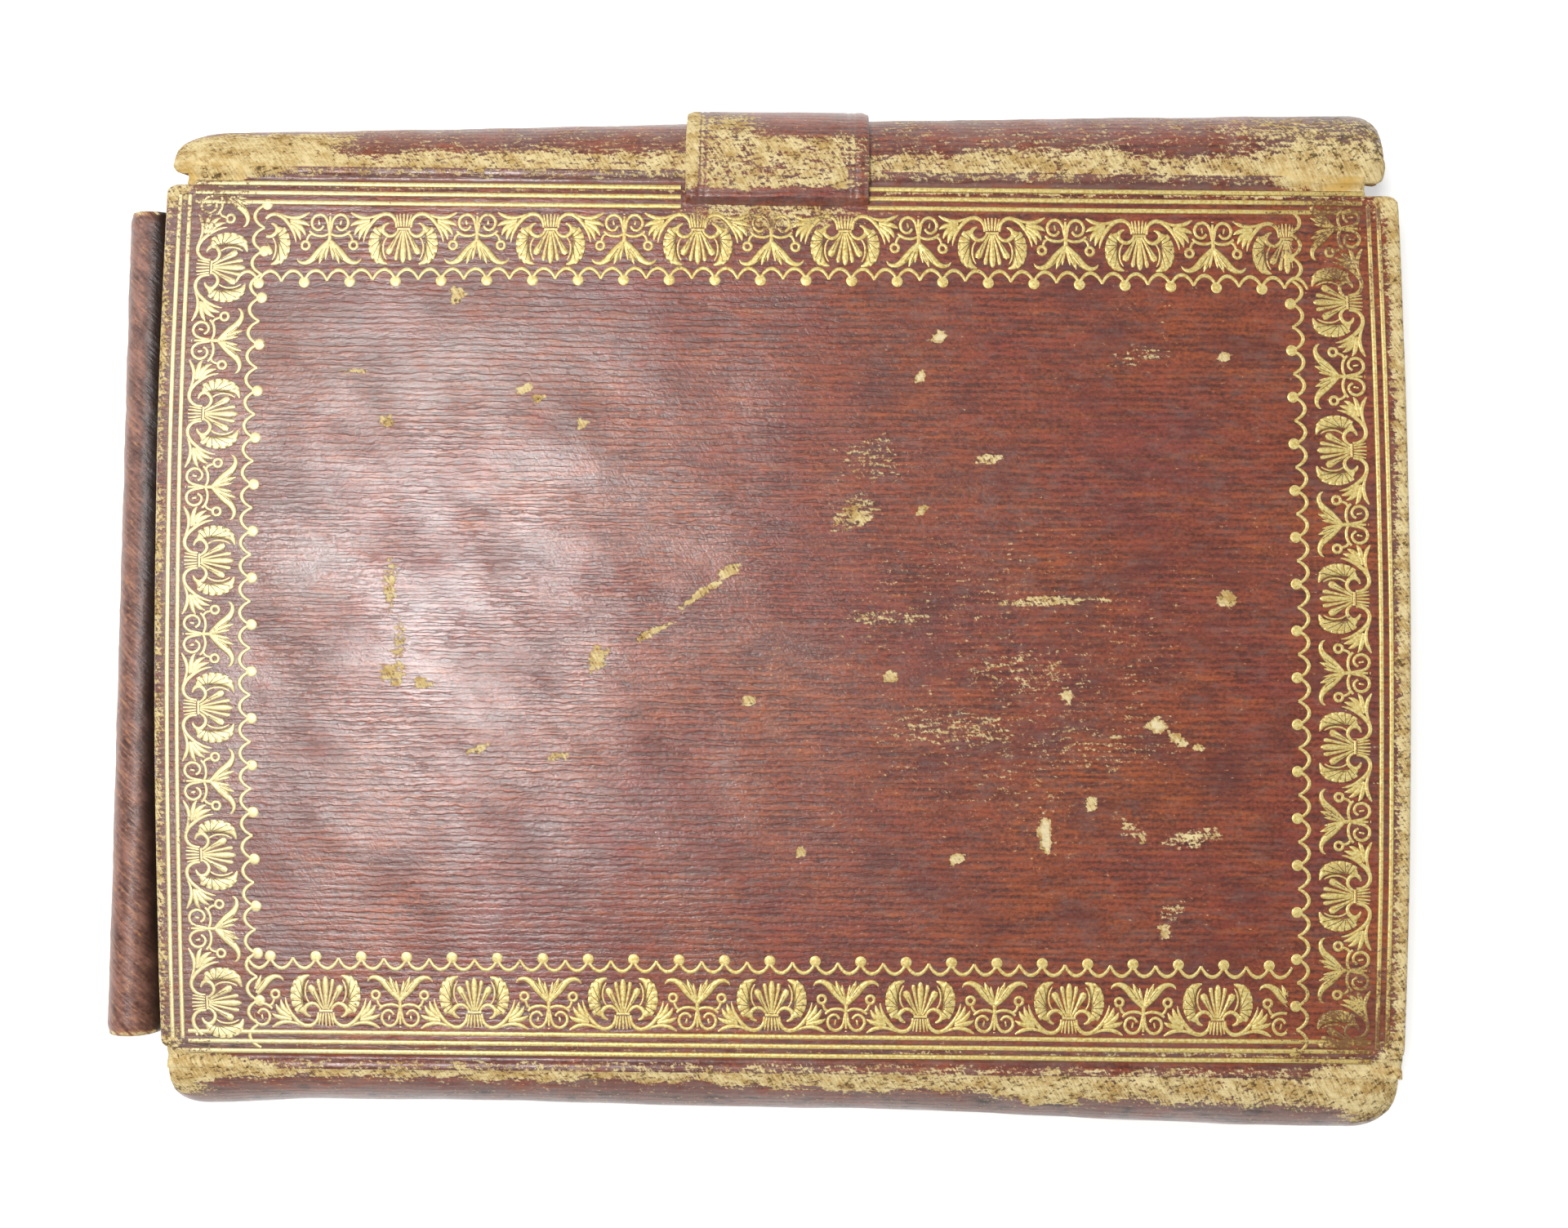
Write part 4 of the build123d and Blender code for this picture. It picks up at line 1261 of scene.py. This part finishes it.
def dress_nodes(board):
    """Gives the solids that stay as they are their own finish."""
    endpaper = plain_paper("toned_endpaper", "#D9C79C", "#A98752", 9.0)
    silk = endband_silk()
    finishes = {
        "text_block": page_edges(), "front_pastedown": endpaper, "back_pastedown": endpaper,
        "front_board": board, "back_board": board, "head_endband": silk, "tail_endband": silk,
    }
    for node, material in finishes.items():
        mesh = frame["nodes"][node].data
        mesh.materials.clear()
        mesh.materials.append(material)


# Stage
TABLE_HALF = 1.5
TABLE_LIFT = 0.3
ROOM_LIGHT = 0.18


def build_floor():
    """A white table: plain diffuse white, lifted to white for the eye and for mirror rays."""
    material, tree, shader = new_material("white_table")
    path = add(tree, "LightPath").outputs
    seen = path["Is Camera Ray"]
    for ray in ("Is Glossy Ray", "Is Transmission Ray"):
        seen = add(tree, "Math", {0: seen, 1: path[ray]}, operation="MAXIMUM").outputs[0]
    feed(tree, shader, {
        "Base Color": "#F4F4F2",
        "Roughness": 1.0,
        "Specular IOR Level": 0.0,
        "Emission Color": "#FFFFFF",
        "Emission Strength": add(tree, "Math", {0: seen, 1: TABLE_LIFT}, operation="MULTIPLY").outputs[0],
    })
    bm = bmesh.new()
    bmesh.ops.create_grid(bm, x_segments=1, y_segments=1, size=TABLE_HALF)
    mesh = bpy.data.meshes.new("table_top")
    bm.to_mesh(mesh)
    bm.free()
    mesh.materials.append(material)
    floor = bpy.data.objects.new("table_top", mesh)
    bpy.context.scene.collection.objects.link(floor)


def area_light(name, place, target, size, power):
    """A soft oval lamp at a place in metres, turned to its target, with its power in watts."""
    lamp = bpy.data.lights.new(name, "AREA")
    lamp.shape = "ELLIPSE"
    lamp.size, lamp.size_y = size
    lamp.energy = power
    obj = bpy.data.objects.new(name, lamp)
    obj.location = place
    obj.rotation_euler = (Vector(target) - Vector(place)).to_track_quat("-Z", "Y").to_euler()
    bpy.context.scene.collection.objects.link(obj)


def build_light():
    """A dim even room, a soft lamp above the left half and broad fills low at the sides."""
    world = bpy.data.worlds.new("room")
    world.use_nodes = True
    feed(world.node_tree, world.node_tree.nodes["Background"], {"Color": "#FFFFFF", "Strength": ROOM_LIGHT})
    bpy.context.scene.world = world
    area_light("window", (-0.175, 0.015, 0.62), (-0.04, 0, 0), (0.26, 0.14), 2.55)
    area_light("left_fill", (-0.7, 0.3, 0.5), (0, 0, 0), (0.6, 0.6), 2.3)
    area_light("right_fill", (0.75, 0.2, 0.5), (0, 0, 0), (0.6, 0.6), 1.95)
    area_light("spine_fill", (0.0, -0.6, 0.16), (0, 0, 0), (0.5, 0.5), 0.5)
    area_light("flap_fill", (0.0, 0.6, 0.16), (0, 0, 0), (0.5, 0.5), 0.5)


# Picture pixels to a millimetre on the cover, and the picture's width in pixels
PHOTO_SCALE = 10.0
PHOTO_WIDTH = 1920
CAMERA_AIM = (0.25, 0.85)
CAMERA_TILT = 0.6
CAMERA_ROLL = 0.57
LENS = 35.6
SENSOR = 36.0


def build_camera():
    """Looks straight down, a touch from the spine side, so that 10 picture pixels cover a millimetre."""
    camera = bpy.data.cameras.new("overhead")
    camera.lens = LENS
    camera.sensor_width = SENSOR
    camera.clip_start = 0.01
    away = LENS * PHOTO_WIDTH / PHOTO_SCALE / SENSOR
    tilt, roll = radians(CAMERA_TILT), radians(CAMERA_ROLL)
    obj = bpy.data.objects.new("overhead", camera)
    y = CAMERA_AIM[1] - away * sin(tilt)
    obj.location = Vector((CAMERA_AIM[0], y, TOP + away * cos(tilt))) * MM
    obj.rotation_euler = (Matrix.Rotation(tilt, 3, "X") @ Matrix.Rotation(roll, 3, "Z")).to_euler()
    bpy.context.scene.collection.objects.link(obj)
    bpy.context.scene.camera = obj


leather = goatskin()
build_front(leather, gold_leaf())
build_back(leather)
board = plain_paper("rope_pasteboard", "#8C734E", "#5E4A30", 2.0)
build_half_rounds(leather, plain_lining(), board)
build_joints(leather)
build_strap(leather)
build_sleeve(sleeve_goatskin())
dress_nodes(board)
build_floor()
build_light()
build_camera()
bpy.context.scene.view_settings.view_transform = "Standard"
